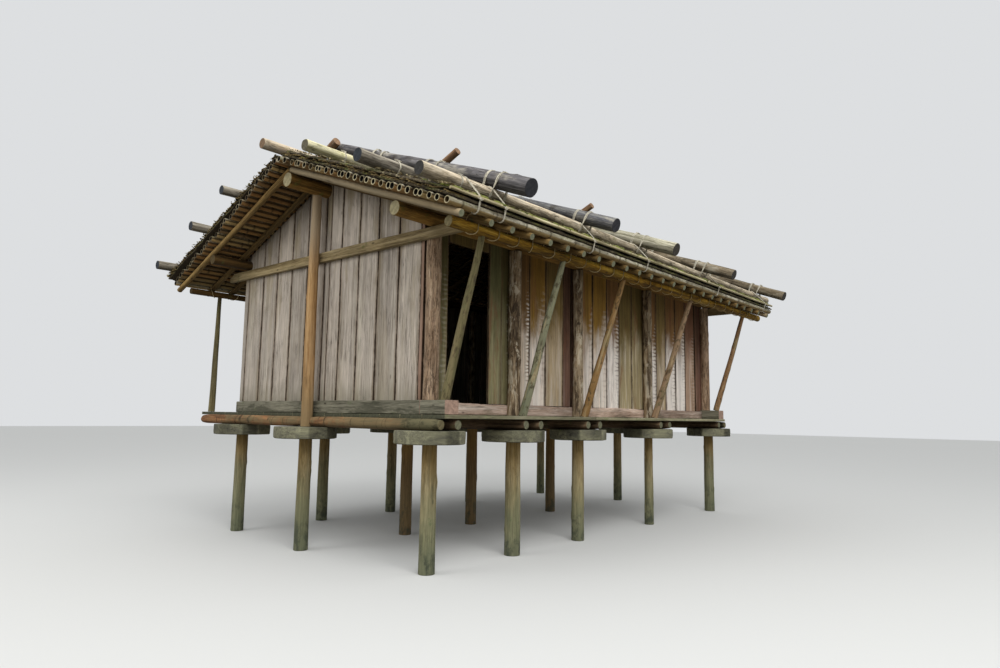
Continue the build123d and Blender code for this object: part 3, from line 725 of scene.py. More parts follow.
def boards_shade(name):
    """The long side's boards: amber and olive above, partly their own tone and partly painted shade from the
    eaves, bleached below, with saw marks on some edges.
    """
    s = Shade(name)

    def of_kind(column):
        """What BOARD_TONES says in one column, for each point's kind of board."""
        levels = [value if isinstance(value, str) else [value] * 3 + [1.0] for value in column]
        return s.ramp(s.rnd, [(i / len(levels), level) for i, level in enumerate(levels)], constant=True)

    upper, lower, marks, bleached = (of_kind(column) for column in zip(*BOARD_TONES))
    level = s.plus(s.z, s.sway(s.noise(2.0, 5, 0.65, 0.3, (0.8, 2.0, 1)), 1.3))
    # partly painted shade: the dark upper tones also stand for the eaves' shadow, down to about this height
    colour = s.stain(lower, upper, level, 2.0, 2.62)
    fine = s.noise(150.0, 3, 0.6, 0.4, (0.06, 1, 1))
    broad = s.noise(24.0, 4, 0.6, 0.8, (0.035, 1, 1))
    colour = s.shade(colour, fine, 0.25, 0.75, 0.82, 1.15)
    colour = s.shade(colour, broad, 0.3, 0.7, 0.68, 1.2)
    colour = s.stain(colour, "#7d5238", s.noise(7.0, 4, 0.65, 0.4, (0.22, 1.2, 1)), 0.54, 0.7, 0.6)
    low = s.times(s.span(level, 1.95, 2.5, 0.8, 0.0), bleached)
    colour = s.stain(colour, "#ece4da", s.noise(9.0, 3, 0.6, 0.3, (0.12, 1.3, 1)), 0.46, 0.64, where=low)
    colour = s.shade(colour, s.x, -1.8, 1.4, 0.93, 1.16)
    # saw marks: dashes up the board, in a band along one edge
    pitch = s.times(s.l, s.span(s.rnd, 0.0, 1.0, 90.0, 150.0))
    dash = s.math("SINE", s.plus(pitch, s.times(s.noise(9.0, 2), 9.0)))
    edge = s.plus(s.mark, s.sway(s.noise(22.0, 3, 0.6, 0, (1, 0.05, 0.05)), 0.9))
    band = s.times(s.span(edge, 0.06, 0.42, 1.0, 0.0), s.span(level, 2.45, 2.7, 1.0, 0.0))
    band = s.times(s.times(band, marks), s.span(level, 1.55, 1.85, 0.35, 1.0))
    colour = s.stain(colour, "#ece4d8", dash, -0.1, 0.45, where=band)
    colour = s.stain(colour, "#5d4534", dash, -0.9, -0.35, 0.0, 1.0, s.times(band, 0.7))
    crack = s.line(s.noise(60.0, 2, 0.5, 0.6, (0.02, 1, 1)), 0.025, 0.6)
    colour = s.stain(colour, "#20160e", s.noise(2.6, 3), 0.45, 0.6, where=crack)
    return s.finish(edges(s, colour), DRY_WOOD, s.plus(fine, broad), 0.0018)


def facets(s, colour):
    """Each hewn face of a guard with its own tone."""
    return s.shade(colour, s.mark, 0.0, 1.0, 0.5, 1.34)


def broken(s, colour):
    """Grey-green weathering in long patches and at the front end, and dark cracks across the grain."""
    patch = s.noise(3.0, 5, 0.7, 0.3, (0.5, 1, 1))
    colour = s.stain(colour, "#7b7354", patch, 0.43, 0.6, 0.65)
    front_end = s.span(s.y, -1.5, -1.15, 0.85, 0.0)
    colour = s.stain(colour, "#65644a", patch, 0.32, 0.46, where=front_end)
    colour = s.stain(colour, "#3a3524", patch, 0.5, 0.58, where=front_end)
    return s.mix(s.line(s.noise(6.0, 2, 0.5, 0.3, (1.0, 0.12, 0.12)), 0.012, 0.8), colour, "#1f160d")


def knotted(s, colour, tone, share=0.8):
    """Dark knots where the log swells."""
    return s.mix(s.times(s.mark, share), colour, tone)


def mossy_top(s, colour):
    """Painted highlight and yellow moss where it faces up, painted shade below, with dark knots."""
    up = s.facing_up()
    # painted light and shade: brighter on faces turned up, darker on faces turned down
    colour = s.shade(colour, up, -0.7, 0.35, 0.62, 1.2)
    green = s.noise(13.0, 5, 0.75, 0.4, (0.4, 1, 1))
    colour = s.stain(colour, "#8f8a3c", green, 0.45, 0.6, 0.7, where=s.span(up, -0.1, 0.5))
    return knotted(s, colour, "#33240f")


def flaky(s, colour):
    """Bark that has come off in flakes, dark where it stays and pale where it went."""
    bark = s.noise(12.0, 5, 0.75, 0.6, (0.3, 1, 1))
    colour = s.stain(colour, "#2c2218", bark, 0.53, 0.6, 0.75)
    colour = s.stain(colour, "#d8ccb4", bark, 0.4, 0.47, 0.0, 0.6)
    return knotted(s, colour, "#2a2017", 0.7)


def stilt_wear(s, colour):
    """Golden heads, orange-brown sheltered stilts, fine streaks, and dark patches where a foot stays wet."""
    colour = s.stain(colour, "#7a5733", s.rnd, 0.22, 0.38, 0.0, 0.6)
    colour = s.stain(colour, "#987a40", s.z, 0.7, 1.08, 0.5)
    colour = s.shade(colour, s.noise(85.0, 3, 0.65, 0.2, (0.04, 1, 1)), 0.3, 0.7, 0.78, 1.18)
    wet = s.noise(11.0, 4, 0.7, 0.3, (0.6, 1, 1))
    return s.stain(colour, "#42473a", wet, 0.46, 0.62, where=s.span(s.z, 0.1, 0.5, 0.8, 0.0))


def verge_pale(s, colour):
    """The front slope's rafters at the two gable ends are painted paler as painted light, with dark knots."""
    # painted light: a pale tone over the verge rafters, standing for the light they catch
    return knotted(s, s.stain(colour, "#b5a88d", s.rnd, 0.9, 0.98, 0.65), "#33281c")


def peeled_wear(s, colour):
    """Grey-brown near the ridge and below the deck, orange-tan between, with pale bands."""
    colour = s.stain(colour, "#ad9c82", s.z, 2.75, 3.35, 0.8)
    return s.stain(colour, "#c9ab84", s.noise(9.0, 3, 0.6, 0.3, (0.1, 1, 1)), 0.55, 0.72, 0.5)


BRACE_TONES = ("#575b3b", "#7f8a72", "#94703f", "#a68a6e", "#926c4a")


def brace_wear(s, colour):
    """Greenish first and second braces, orange-brown ones beyond."""
    tints = [(i / len(BRACE_TONES), tone) for i, tone in enumerate(BRACE_TONES)]
    colour = s.mix(0.68, colour, s.ramp(s.rnd, tints, constant=True))
    colour = s.stain(colour, "#463c2a", s.noise(26.0, 4, 0.7, 0.3, (0.5, 1, 1)), 0.51, 0.62, 0.8)
    colour = s.stain(colour, "#6c6a48", s.noise(7.0, 5, 0.7, 0.3, (0.4, 1, 1)), 0.52, 0.62, 0.5)
    colour = knotted(s, colour, "#35291c")
    pale = s.noise(14.0, 3, 0.6, 0.3, (0.12, 1, 1))
    return s.stain(colour, "#c4ad84", pale, 0.56, 0.7, where=s.span(s.rnd, 0.15, 0.3, 0.15, 0.55))


def barked(s, colour):
    """Upright fissures in the bark, with paler wood where it has fallen."""
    fissure = s.line(s.noise(34.0, 4, 0.7, 0.8, (0.1, 1, 1)), 0.05, 0.75)
    colour = s.mix(fissure, colour, "#2b1d14")
    return s.stain(colour, "#b89c84", s.noise(5.0, 5, 0.7, 0.4, (0.3, 1.2, 1)), 0.52, 0.64, 0.5)


def cracked(s, colour):
    """Long drying cracks and grey bloom on a barkless log, with a painted sunlit top and painted shade below.
    """
    crack = s.line(s.noise(20.0, 3, 0.6, 0.5, (0.04, 1, 1)), 0.02, 0.85)
    colour = s.stain(colour, "#1f1913", s.noise(2.0, 3), 0.45, 0.6, where=crack)
    colour = s.stain(colour, "#c4bdab", s.noise(7.0, 5, 0.7, 0.3, (0.3, 1.2, 1)), 0.52, 0.66, 0.5)
    colour = s.stain(colour, "#3c3629", s.noise(9.0, 5, 0.75, 0.5, (0.35, 1, 1)), 0.53, 0.64, 0.55)
    colour = knotted(s, colour, "#2e241a")
    # painted light: brighter on top where the sun would fall, darker underneath
    return s.shade(colour, s.facing_up(), -0.4, 0.85, 0.74, 1.22)


# Timbers of the building

def timbers(name, node, slot, material, rng, shape, ends=spine, stout=(1.0,), only=None, rnd=None, **facts):
    """A piece with a log for each round solid of a node.

    shape is each log's sides, step, bend, lump and knots. ends finds a solid's line and radii,
    stout is the share of each solid's radii that is used, and rnd gives a log's random number
    from its count and its start.
    """
    piece = Piece(name)
    for i, points in enumerate(solids(node)):
        if only in (None, i):
            start, end, r0, r1 = ends(points)
            share = stout[i % len(stout)]
            own = rnd(i, start) if rnd else None
            log(piece, start, end, r0 * share, r1 * share, rng, *shape, rnd=own, **facts)
    piece.done(material, slot, [node])


def build_stilts(material):
    """Stilts, of which the middle row's are sheltered between the gables."""
    for key in ("front_stilts", "middle_stilts", "back_stilts"):
        rng = rng_for(key)

        def tone(_, start):
            sheltered = key == "middle_stilts" and 0.5 < start[0] - ORIGIN[0] < DECK_LENGTH - 0.5
            return rng.uniform(0.02, 0.2) if sheltered else rng.uniform(0.4, 0.9)

        timbers(key + "_timber", key, "stilt_wood", material, rng, (28, 0.04, 0.002, 0.009, 4), rnd=tone)


def build_guards(material):
    """Thick slabs hewn round, each with its own faces, and with its grain level."""
    faces, per_face = 13, 5
    for key in ("front_rat_guards", "gable_rat_guards", "back_rat_guards"):
        rng = rng_for(key)
        piece = Piece(key + "_slabs")
        for points in solids(key):
            low, high = points.min(0), points.max(0)
            middle, radius = (low + high) / 2, (high[0] - low[0]) / 2
            turn = np.sort(round_angles(faces) + rng.uniform(-0.13, 0.13, faces))
            reach = radius * rng.uniform(0.955, 1.02, faces)
            loop = np.stack([reach * np.cos(turn), reach * np.sin(turn)], -1)
            run = (np.roll(loop, -1, 0) - loop)[:, None] * (np.arange(per_face) / per_face)[:, None]
            outline = (loop[:, None] + run).reshape(-1, 2)
            outline *= 1 + rng.normal(0, 0.003, len(outline))[:, None]
            heights = [low[2] + rise for rise in (0, 0.006, 0.04, middle[2] - low[2])]
            heights += [high[2] - drop for drop in (0.035, 0.006, 0)]
            scales = (0.984, 0.994, 0.999, 1.0, 1.0, 0.996, 0.986)
            shrink = 1 / max(1.0, np.abs(outline).max() / radius)
            rings = np.stack([outline * scale * shrink for scale in scales])
            rings += rng.normal(0, 0.0009, rings.shape)
            tones = np.repeat(rng.random(faces), per_face)
            places = [(middle[0], middle[1], height) for height in heights]
            sweep(piece, places, ALONG, (0, 1.0, 0), rings, rng.random(), tones, 0.004)
            loc, look = piece.loc[-1], piece.look[-1]
            angle = rng.uniform(0, math.pi)
            local = piece.co[-1] - middle
            loc[:, 0] = local[:, 0] * math.cos(angle) + local[:, 1] * math.sin(angle)
            loc[:, 1] = -local[:, 0] * math.sin(angle) + local[:, 1] * math.cos(angle)
            loc[:, 2] = local[:, 2]
            look[:, 2] = 0.0
        piece.done(material, "guard_wood", [key], angle=14)


def build_bearers(inner, outer):
    """Logs across the building, flattened above and below, and narrower towards their ends."""
    for key, material in (("floor_bearers", inner), ("edge_bearers", outer)):
        rng = rng_for(key)
        piece = Piece(key + "_logs")
        for points in solids(key):
            low, high = points.min(0), points.max(0)
            x, _, z = (low + high) / 2
            radius = half_width(points)
            log(piece, (x, low[1], z), (x, high[1], z), radius, radius, rng, 24, 0.08, 0.002, 0.03, 4,
                tips=(0.24, 0.15), tip_run=0.08, flat=(high[2] - low[2]) / 2)
        piece.done(material, "bearer_wood", [key])


LENGTHWISE, CROSSWISE, UPWARD = range(3)
HALF_GAP = 0.002
BAY_JOINTS = (1.20, 2.35, 3.98)


def squared(piece, low, high, rng, axis, face, wobble, n_side, bevel=0.006, step=0.1):
    """Squared timber between two corners in building axes, its grain on one axis, its face on another."""
    low, high = here(*low), here(*high)
    start, end = (low + high) / 2, (low + high) / 2
    start[axis], end[axis] = low[axis], high[axis]
    size, out = high - low, np.zeros(3)
    out[face] = 1.0 if face == UPWARD else -1.0
    across = LENGTHWISE + CROSSWISE + UPWARD - axis - face
    board(piece, start, end, size[across], size[face], rng, out, bevel, wobble, step, n_side)


def build_deck(material):
    rng = rng_for("deck")
    low, high = box_of("deck")
    piece = Piece("deck_boards")
    rows, joints = 15, (2.36, 3.99, 1.215)
    pitch = (high[1] - low[1]) / rows
    for i in range(rows):
        y0, y1 = low[1] + i * pitch + HALF_GAP, low[1] + (i + 1) * pitch - rng.uniform(0.003, 0.008)
        if i == 0:
            y0 = low[1]
        joint = joints[i % len(joints)]
        for a, b in ((low[0], joint - HALF_GAP), (joint + HALF_GAP, high[0])):
            top = high[2] - rng.uniform(0, 0.002)
            squared(piece, (a, y0, low[2]), (b, y1, top), rng, LENGTHWISE, UPWARD, 0.0025, 5, 0.004, 0.12)
    piece.done(material, "deck_wood", ["deck"])


def build_sills(grey, pink):
    rng = rng_for("sills")
    piece = Piece("gable_sills_beams")
    split = 0.33
    for points in solids("gable_sills"):
        (x0, y0, z0), (x1, y1, z1) = points.min(0) - ORIGIN, points.max(0) - ORIGIN
        for a, b in ((y0, split - HALF_GAP), (split + HALF_GAP, y1)):
            squared(piece, (x0, a, z0), (x1, b, z1), rng, CROSSWISE, LENGTHWISE, 0.003, 5)
    piece.done(grey, "sill_wood", ["gable_sills"])
    low, high = box_of("front_sill")
    joints = (low[0], *BAY_JOINTS, high[0])
    for node, material, wobble, n_side, sag in (("front_sill", pink, 0.004, 7, 0.006),
                                                ("back_sill", grey, 0.003, 5, None)):
        piece = Piece(node + "_beam")
        low, high = box_of(node)
        for a, b in zip(joints, joints[1:]):
            top = high[2] - rng.uniform(0, sag) if sag else high[2]
            squared(piece, (a + 0.001, low[1], low[2]), (b - 0.001, high[1], top), rng, LENGTHWISE, CROSSWISE,
                    wobble, n_side)
        piece.done(material, "sill_wood", [node])


GABLE_JOINTS = (0.705, 1.012, 1.31, 1.605, 1.80, 1.885, 2.205, 2.50, 2.793, 3.085, 3.41)
PLANK_BEVEL = 0.003
PLANK_GAP = 0.005


def build_gable(node, material, outward):
    """Upright boards under the roof's slopes, whose tops are cut to the slope."""
    rng = rng_for(node)
    points = solids(node)[0] - ORIGIN
    low, high = points.min(0), points.max(0)
    tops = [points[np.abs(points[:, 1] - y) < 0.012][:, 2].max() for y in (low[1], RIDGE_Y, high[1])]
    peak = points[points[:, 2].argmax()][1]

    def top(y):
        return np.interp(y, [low[1], peak, high[1]], tops)

    piece = Piece(node + "_planks")
    joints = (low[1] - 0.042, low[1] - 0.001) + GABLE_JOINTS + (high[1] + 0.003,)
    for i, (y0, y1) in enumerate(zip(joints, joints[1:])):
        a, b = y0 + PLANK_GAP, y1 - PLANK_GAP if i else y1
        y = (a + b) / 2
        slope = (top(b) - top(a)) / (b - a)
        x = (low[0] + high[0]) / 2 + rng.uniform(-0.002, 0.002)
        board(piece, here(x, y, low[2]), here(x, y, top(y) - 0.004), b - a, high[0] - low[0] - 0.006, rng,
              (outward, 0, 0), PLANK_BEVEL, 0.0028, 0.08, 10, 0.002, True, (0.0, -outward * slope),
              rng.uniform(0, 0.95) if i else 0.99)
    piece.done(material, "gable_wood", [node])


# Where each board of the long side begins and ends, and its kind; None is the wall's own end
FRONT_BOARDS = {
    "front_boards_corner": [(None, 0.311, JAMB)],
    "front_boards_door_side": [(0.890, 1.075, FAR_JAMB), (1.078, 1.214, JAMB)],
    "door_head_board": [(0.314, 0.887, OLIVE)],
    "front_boards_bay_2": [(1.217, 1.380, TAN), (1.385, 1.532, TOOTHED), (1.540, 1.818, AMBER),
                           (1.826, 2.150, OLIVE_TAN), (2.158, 2.298, PURPLE), (2.330, 2.358, PURPLE)],
    "front_boards_bay_3": [(2.361, 2.520, BROWN), (2.525, 2.757, AMBER), (2.767, 3.075, AMBER),
                           (3.084, 3.365, WHITE), (3.373, 3.684, OLIVE), (3.692, 3.988, OLIVE)],
    "front_boards_bay_4": [(3.991, 4.352, WHITE), (4.362, 4.622, OLIVE_TAN), (4.634, 4.922, WHITE),
                           (4.934, 5.228, WHITE), (5.240, 5.545, BROWN), (5.578, None, PURPLE)],
}


def build_front_boards(material):
    rng = rng_for("front_boards")
    for node, spans in FRONT_BOARDS.items():
        low, high = box_of(node)
        piece = Piece(node + "_planks")
        tall = high[2] - low[2]
        step = tall / (max(3, int(tall / 0.06) + 1) - 0.5)
        for x0, x1, kind in spans:
            x0 = low[0] + 0.001 if x0 is None else x0
            x1 = high[0] - 0.001 if x1 is None else x1
            x, y = (x0 + x1) / 2, (low[1] + high[1]) / 2 + rng.uniform(0, 0.004)
            board(piece, here(x, y, low[2]), here(x, y, high[2]), x1 - x0, high[1] - low[1] - 0.004, rng,
                  (0, -1, 0), PLANK_BEVEL, 0.0035, step, 9, 0.001, True,
                  rnd=(kind + rng.uniform(0.2, 0.8)) / len(BOARD_TONES))
        piece.done(material, "wall_wood", [node])


def build_back_boards(material):
    rng = rng_for("back_boards")
    low, high = box_of("back_boards")
    piece = Piece("back_boards_planks")
    x, last, y = low[0] + 0.003, high[0] - 0.003, (low[1] + high[1]) / 2
    while x < high[0] - 0.05:
        width = min(rng.uniform(0.24, 0.33), last - x)
        if high[0] - x - width < 0.12:
            width = last - x
        middle = x + width / 2
        board(piece, here(middle, y, low[2]), here(middle, y, high[2]), width - 0.008,
              high[1] - low[1] - 0.004, rng, (0, 1, 0), PLANK_BEVEL, 0.003, 0.1, 8, 0.001, True)
        x += width
    piece.done(material, "wall_wood", ["back_boards"])


def build_posts(rough_post, dark_post, pole, peeled):
    rng = rng_for("posts")
    for node, material, shape, facts in (
        ("front_corner_posts", rough_post, (40, 0.03, 0.003, 0.03, 6), dict(ends=upright, stout=(0.985,))),
        ("front_wall_posts", dark_post, (30, 0.035, 0.004, 0.045, 8),
         dict(stout=(1.07, 0.98, 0.99), tips=(-0.14, 0.0), tip_run=0.16)),
        ("back_wall_posts", dark_post, (24, 0.06, 0.004, 0.03, 4), {}),
        ("ridge_posts", peeled, (34, 0.035, 0.004, 0.018, 9), dict(ends=lambda points: upright(points, 0.8))),
        ("back_eave_posts", pole, (20, 0.06, 0.006, 0.03, 4), {}),
    ):
        timbers(node + "_timber", node, "post_wood", material, rng, shape, **facts)


def build_braces(material):
    timbers("front_braces_poles", "front_braces", "post_wood", material, rng_for("braces"),
            (24, 0.03, 0.004, 0.035, 7), brace_line, rnd=lambda i, _: (i + 0.5) / len(BRACE_TONES))


def build_tie_beams(material):
    """Beams whose tops follow the CAD's own line."""
    rng = rng_for("tie_beams")
    piece = Piece("tie_beams_timber")
    rings = 44
    for points in solids("tie_beams"):
        low, high = points.min(0), points.max(0)
        corners = {}
        for _, y, z in points:
            corners[round(y, 3)] = max(z, corners.get(round(y, 3), 0))
        known = sorted(corners)
        ys = np.linspace(low[1], high[1], rings)
        tops = np.interp(ys, known, [corners[y] for y in known])
        tops -= 0.004 + wave(rng, 3, 0.002)(np.linspace(0, 1, rings))
        sections = []
        for height in tops - low[2]:
            ring = rounded(height, high[0] - low[0] - 0.004, 0.006, 5)
            ring[:, 0] += height / 2 - (high[2] - low[2]) / 2
            sections.append(ring)
        places = [((low[0] + high[0]) / 2, y, (low[2] + high[2]) / 2) for y in ys]
        sweep(piece, places, (0, 0, 1.0), ALONG, sections, rng.random())
    piece.done(material, "frame_wood", ["tie_beams"])


def build_frame_logs(brown, shaded_copy, golden):
    for key, material, lump, knots in (
        ("front_wall_plate", brown, 0.02, 3),
        ("back_wall_plate", shaded_copy, 0.02, 3),
        ("ridge_log", brown, 0.015, 3),
        ("front_eave_purlin", golden, 0.065, 9),
        ("back_eave_purlin", shaded_copy, 0.04, 4),
    ):
        timbers(key + "_timber", key, "frame_wood", material, rng_for(key), (28, 0.05, 0.004, lump, knots))


RAFTER_RADII = (0.0322, 0.031)


def build_rafters(material):
    """Poles down both slopes. verge is the outermost ones' random number, high so that they come out brighter
    as painted light, and the verge rafters' look reads it.
    """
    for key, verge in (("front_rafters", 1.0), ("back_rafters", 0.8)):
        rng = rng_for(key)
        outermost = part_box(key)[1].x - 0.1

        def tone(_, start):
            return verge if abs(start[0]) > outermost else rng.uniform(0, 0.6)

        timbers(key + "_poles", key, "rafter_wood", material, rng, (15, 0.09, 0.003, 0.035, 4),
                lambda points: (*rafter_line(points), *RAFTER_RADII), rnd=tone)


CULM_WALL = 0.008
CULM_RINGS = ((-0.018, 0.98), (-0.004, 1.03), (0.004, 1.03), (0.018, 0.98))     # at each joint


def build_culms(material):
    """Bamboo with swollen nodes, pale cut ends and a bore closed by its first wall, its inside painted near
    black as shade on most culms.
    """
    for key, front in (("front_culms", True), ("back_culms", False)):
        rng = rng_for(key)
        low_box, high_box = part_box(key)
        down = slope_down(front)
        piece = Piece(key + "_bamboo")
        for points in solids(key):
            low, high = points.min(0), points.max(0)
            _, y, z = (low + high) / 2
            radius = (high[1] - low[1]) / 2
            size = radius * rng.uniform(0.88, 0.99)
            rest = down * (radius - size)
            start = np.array([low[0] + abs(rng.normal(0, 0.007)), y, z]) + rest
            end = np.array([high[0] - abs(rng.normal(0, 0.007)), y, z]) + rest
            share = (high_box.z - z) / 1.4
            rim = rng.uniform(0.25, 0.6) + 0.55 * share if front else rng.uniform(0.0, 0.3)
            if rng.random() < 0.5:
                start, end = end, start
            eave = abs(y - low_box.y) < 0.09 or abs(y - high_box.y) < 0.09
            culm(piece, start, end, size, rng, rim, 0.0 if eave else 1.0, 16 if front else 12)
        piece.done(material, "bamboo", [key], angle=35)


def culm(piece, start, end, radius, rng, rim, touching, sides):
    """One culm. rim is how pale its cut ends are, and touching is 1 with a culm on both sides, where painted
    shade darkens its sides.
    """
    axis, side, up, length = directions(start, end)
    at, girth, joints = [0.0], [1.0], []
    x, gap = rng.uniform(0.08, 0.25), rng.uniform(0.30, 0.42)
    while x < length - 0.05:
        joints.append(x)
        for offset, size in CULM_RINGS:
            at.append(x + offset)
            girth.append(size)
        x += gap * rng.uniform(0.85, 1.15)
    at, girth = np.array(at + [length]), np.array(girth + [1.0])
    keep = np.concatenate([[True], np.diff(at) > 0.001])
    at, girth = at[keep], girth[keep]
    taper = 1.0 - 0.06 * at / length
    wx, wy = wave(rng, 0.8, 0.0022), wave(rng, 0.8, 0.0022)
    t = at / length
    fade = np.sin(math.pi * t)
    places = start + np.outer(at, axis) + np.outer(wx(t) * fade, side) + np.outer(wy(t) * fade, up)
    near_joint = np.zeros(len(at))
    for x in joints:
        near_joint = np.maximum(near_joint, np.exp(-((at - x) / 0.012) ** 2))
    depth = rng.choice([0.07, 0.07, 0.05, 0.03])
    bore = radius - CULM_WALL * rng.uniform(0.8, 1.5)
    rnd = rng.random()
    lip, ease, hub = 0.003, 0.0015, 0.001
    places[0] += axis * ease
    places[-1] -= axis * ease
    last, far_bore = radius * taper[-1], bore * taper[-1]
    # each row: a ring's middle, its radius, its place along, how far it is inside or on the cut, its mark
    rows = [
        (start + axis * depth, hub, depth, 0.5, 0.0),
        (start + axis * depth, bore, depth, 0.5, 0.0),
        (start + axis * lip, bore, lip, 0.75, rim),
        (start, bore + ease, 0.0, 1.0, rim),
        (start, radius * 0.985 - 0.001, 0.0, 1.0, rim),
        *zip(places, radius * girth * taper, at, np.zeros(len(at)), near_joint),
        (end, last - 0.001, length, 1.0, rim),
        (end, far_bore + ease, length, 1.0, rim),
        (end - axis * lip, far_bore, length, 0.75, rim),
        (end - axis * depth, far_bore, length, 0.5, 0.0),
        (end - axis * depth, hub, length, 0.5, 0.0),
    ]
    middle, r, along, cut, mark = (np.array(column)[:, None] for column in zip(*rows))
    angles = round_angles(sides)
    circle = np.stack([np.cos(angles), np.sin(angles)], -1)
    co = middle + r[..., None] * (circle[:, :1] * side + circle[:, 1:] * up)
    loc = np.empty(co.shape)
    loc[..., 0] = along
    loc[..., 1:] = circle * r[..., None]
    look = np.empty((*co.shape[:2], 4))
    for k, fact in enumerate((rnd, touching, cut, mark)):
        look[..., k] = fact
    piece.add(co.reshape(-1, 3), loc.reshape(-1, 3), look.reshape(-1, 4), ring_quads(len(rows), sides))


# Cover of the roof

COVER_WAVES = 26
COVER_EDGE = 0.05           # metres from an edge within which the cover thins


def build_cover(node, material, ragged, lift, nx, ns):
    """Bumpy sheets over the culms, with nx by ns points above and below and ragged edges."""
    for i, points in enumerate(solids(node)):
        front = in_front(points)
        top, down, out, thickness, reach, x0, x1 = slope_frame(points)
        rng = rng_for(node[:-1] + str(i))
        X, S = np.meshgrid(np.linspace(0, 1, nx), np.linspace(0, 1, ns), indexing="ij")
        bumps = np.zeros_like(X)
        for _ in range(COVER_WAVES):
            fx, fs = rng.uniform(2, 60), rng.uniform(1, 16)
            bumps += np.sin(WHOLE_TURN * (fx * X + fs * S) + rng.uniform(0, 6.28)) * rng.uniform(0.3, 1)
        bumps = bumps / 5 + rng.normal(0, 0.35, X.shape)
        edge_x = np.minimum(X, 1 - X) * (x1 - x0)
        edge_s = np.minimum(S, 1 - S) * reach
        ease = np.clip(np.minimum(edge_x, edge_s) / COVER_EDGE, 0, 1)
        height = -0.002 - lift * (0.5 - 0.5 * np.tanh(bumps)) - (1 - ease) ** 2 * thickness * 0.45
        pull_s, pull_x0, pull_x1 = (ragged * np.clip(np.abs(rng.normal(0, 0.6, count)), 0, 1.5)
                                    for count in (nx, ns, ns))
        along = np.where(S > 0.97, S * reach - pull_s[:, None], S * reach)
        place_x = x0 + X * (x1 - x0)
        place_x = np.where(X < 0.004, place_x + pull_x0[None], place_x)
        place_x = np.where(X > 0.996, place_x - pull_x1[None], place_x)
        base = np.zeros((nx, ns, 3)) + top
        base[..., 0] = place_x
        base += along[..., None] * down
        upper = base + height[..., None] * out
        lower = base - (thickness - 0.001) * out
        rnd = rng.random()
        piece = Piece(f"{node}_{'front' if front else 'back'}")
        index = np.arange(nx * ns).reshape(nx, ns)
        a, b, c, d = index[:-1, :-1], index[1:, :-1], index[1:, 1:], index[:-1, 1:]
        for co, below in ((upper, False), (lower, True)):
            loc = np.stack([along, place_x, np.zeros_like(X)], -1)
            look = np.stack([np.full_like(X, rnd), S, np.full_like(X, below),
                             np.clip(0.5 + bumps * 0.25, 0, 1)], -1)
            quads = np.stack([a, b, c, d] if below == front else [a, d, c, b], -1).reshape(-1, 4)
            piece.add(co.reshape(-1, 3), loc.reshape(-1, 3), look.reshape(-1, 4), quads)
        rim = np.concatenate([index[:, 0], index[-1, 1:], index[-2::-1, -1], index[0, -2:0:-1]])
        after = np.roll(rim, -1)
        wall = np.stack([rim, after, after + index.size, rim + index.size], -1)
        piece.quads.append(wall[:, ::-1] if front else wall)
        piece.done(material, "roof_cover", [node] if i == 0 else (), angle=60)


def build_twigs(material):
    """Thin canes in the cover, whose ends show along both gables."""
    rng = rng_for("twigs")
    piece = Piece("cover_canes")
    for points in solids("lower_covers"):
        top, down, out, thickness, reach, x0, x1 = slope_frame(points)
        for face, inward in ((x0, 1.0), (x1, -1.0)):
            s = 0.02
            while s < reach - 0.015:
                radius = rng.uniform(0.004, 0.008)
                lift = rng.uniform(0.0, thickness - 0.012)
                stick = rng.uniform(0.0, 0.012) if rng.random() < 0.85 else rng.uniform(0.012, 0.035)
                start = top + down * s - out * lift
                start[0] = face - inward * stick
                end = start.copy()
                end[0] = start[0] + inward * rng.uniform(0.16, 0.3)
                end += down * rng.normal(0, 0.008)
                cane = start + np.outer(np.linspace(0, 1, 5), end - start) + rng.normal(0, 0.0012, (5, 3))
                tube(piece, cane, radius, rng.random(), sides=7, closed=False)
                s += rng.uniform(0.014, 0.04)
    piece.done(material, "roof_cover", angle=50)


# Ropes

ROPE = 0.0042
EAVE_ROPE = 0.004
EAVE_RAFTER = 0.0325
TIE_END = 0.03              # ropes stay this far from a pole's end
TIE_GAP = 0.04              # poles further apart than this aren't tied
TURN_PITCH = 2.3 * ROPE


def strand(piece, path, rng, radius):
    """Rope that is now thinner, now thicker than usual."""
    tube(piece, path, radius * rng.uniform(0.85, 1.1), rng.random())


def lash(piece, a, b, rng):
    """Rope turns round the crossing of two poles, b lying on a, each pole start, end and two radii."""
    (a0, a1, ra0, ra1), (b0, b1, rb0, rb1) = a, b
    da, db = a1 - a0, b1 - b0
    la, lb = np.linalg.norm(da), np.linalg.norm(db)
    da, db = da / la, db / lb
    w = a0 - b0
    k = da @ db
    ta = (k * (db @ w) - da @ w) / (1 - k * k)
    tb = ((db @ w) - k * (da @ w)) / (1 - k * k)
    ta, tb = np.clip(ta, TIE_END, la - TIE_END), np.clip(tb, TIE_END, lb - TIE_END)
    pa, pb = a0 + da * ta, b0 + db * tb
    ra, rb = ra0 + (ra1 - ra0) * ta / la, rb0 + (rb1 - rb0) * tb / lb
    normal = pb - pa
    apart = np.linalg.norm(normal)
    if apart > ra + rb + TIE_GAP:
        return
    normal /= apart
    half = np.linspace(0, math.pi, 9)
    near_a, near_b = ra + ROPE * 0.9, rb + ROPE * 0.9
    for turn in range(3):
        far_a, far_b = (near + turn * ROPE * 2.2 + rng.uniform(0, 0.004) for near in (near_a, near_b))
        path = []
        for sign in (1, -1):
            over, under = pb + db * far_a * sign, pa + da * far_b * sign
            path += [over + da * near_b * math.cos(t) * sign + normal * near_b * math.sin(t)
                     for t in half[::-1]]
            path += [under + db * near_a * math.cos(t) * sign - normal * near_a * math.sin(t) for t in half]
        strand(piece, np.array(path) + rng.normal(0, 0.0005, (len(path), 3)), rng, ROPE)
    knot(piece, pb + db * (ra + 0.01) * rng.choice([-1, 1]) + normal * (rb + ROPE * 1.6), normal, rng)


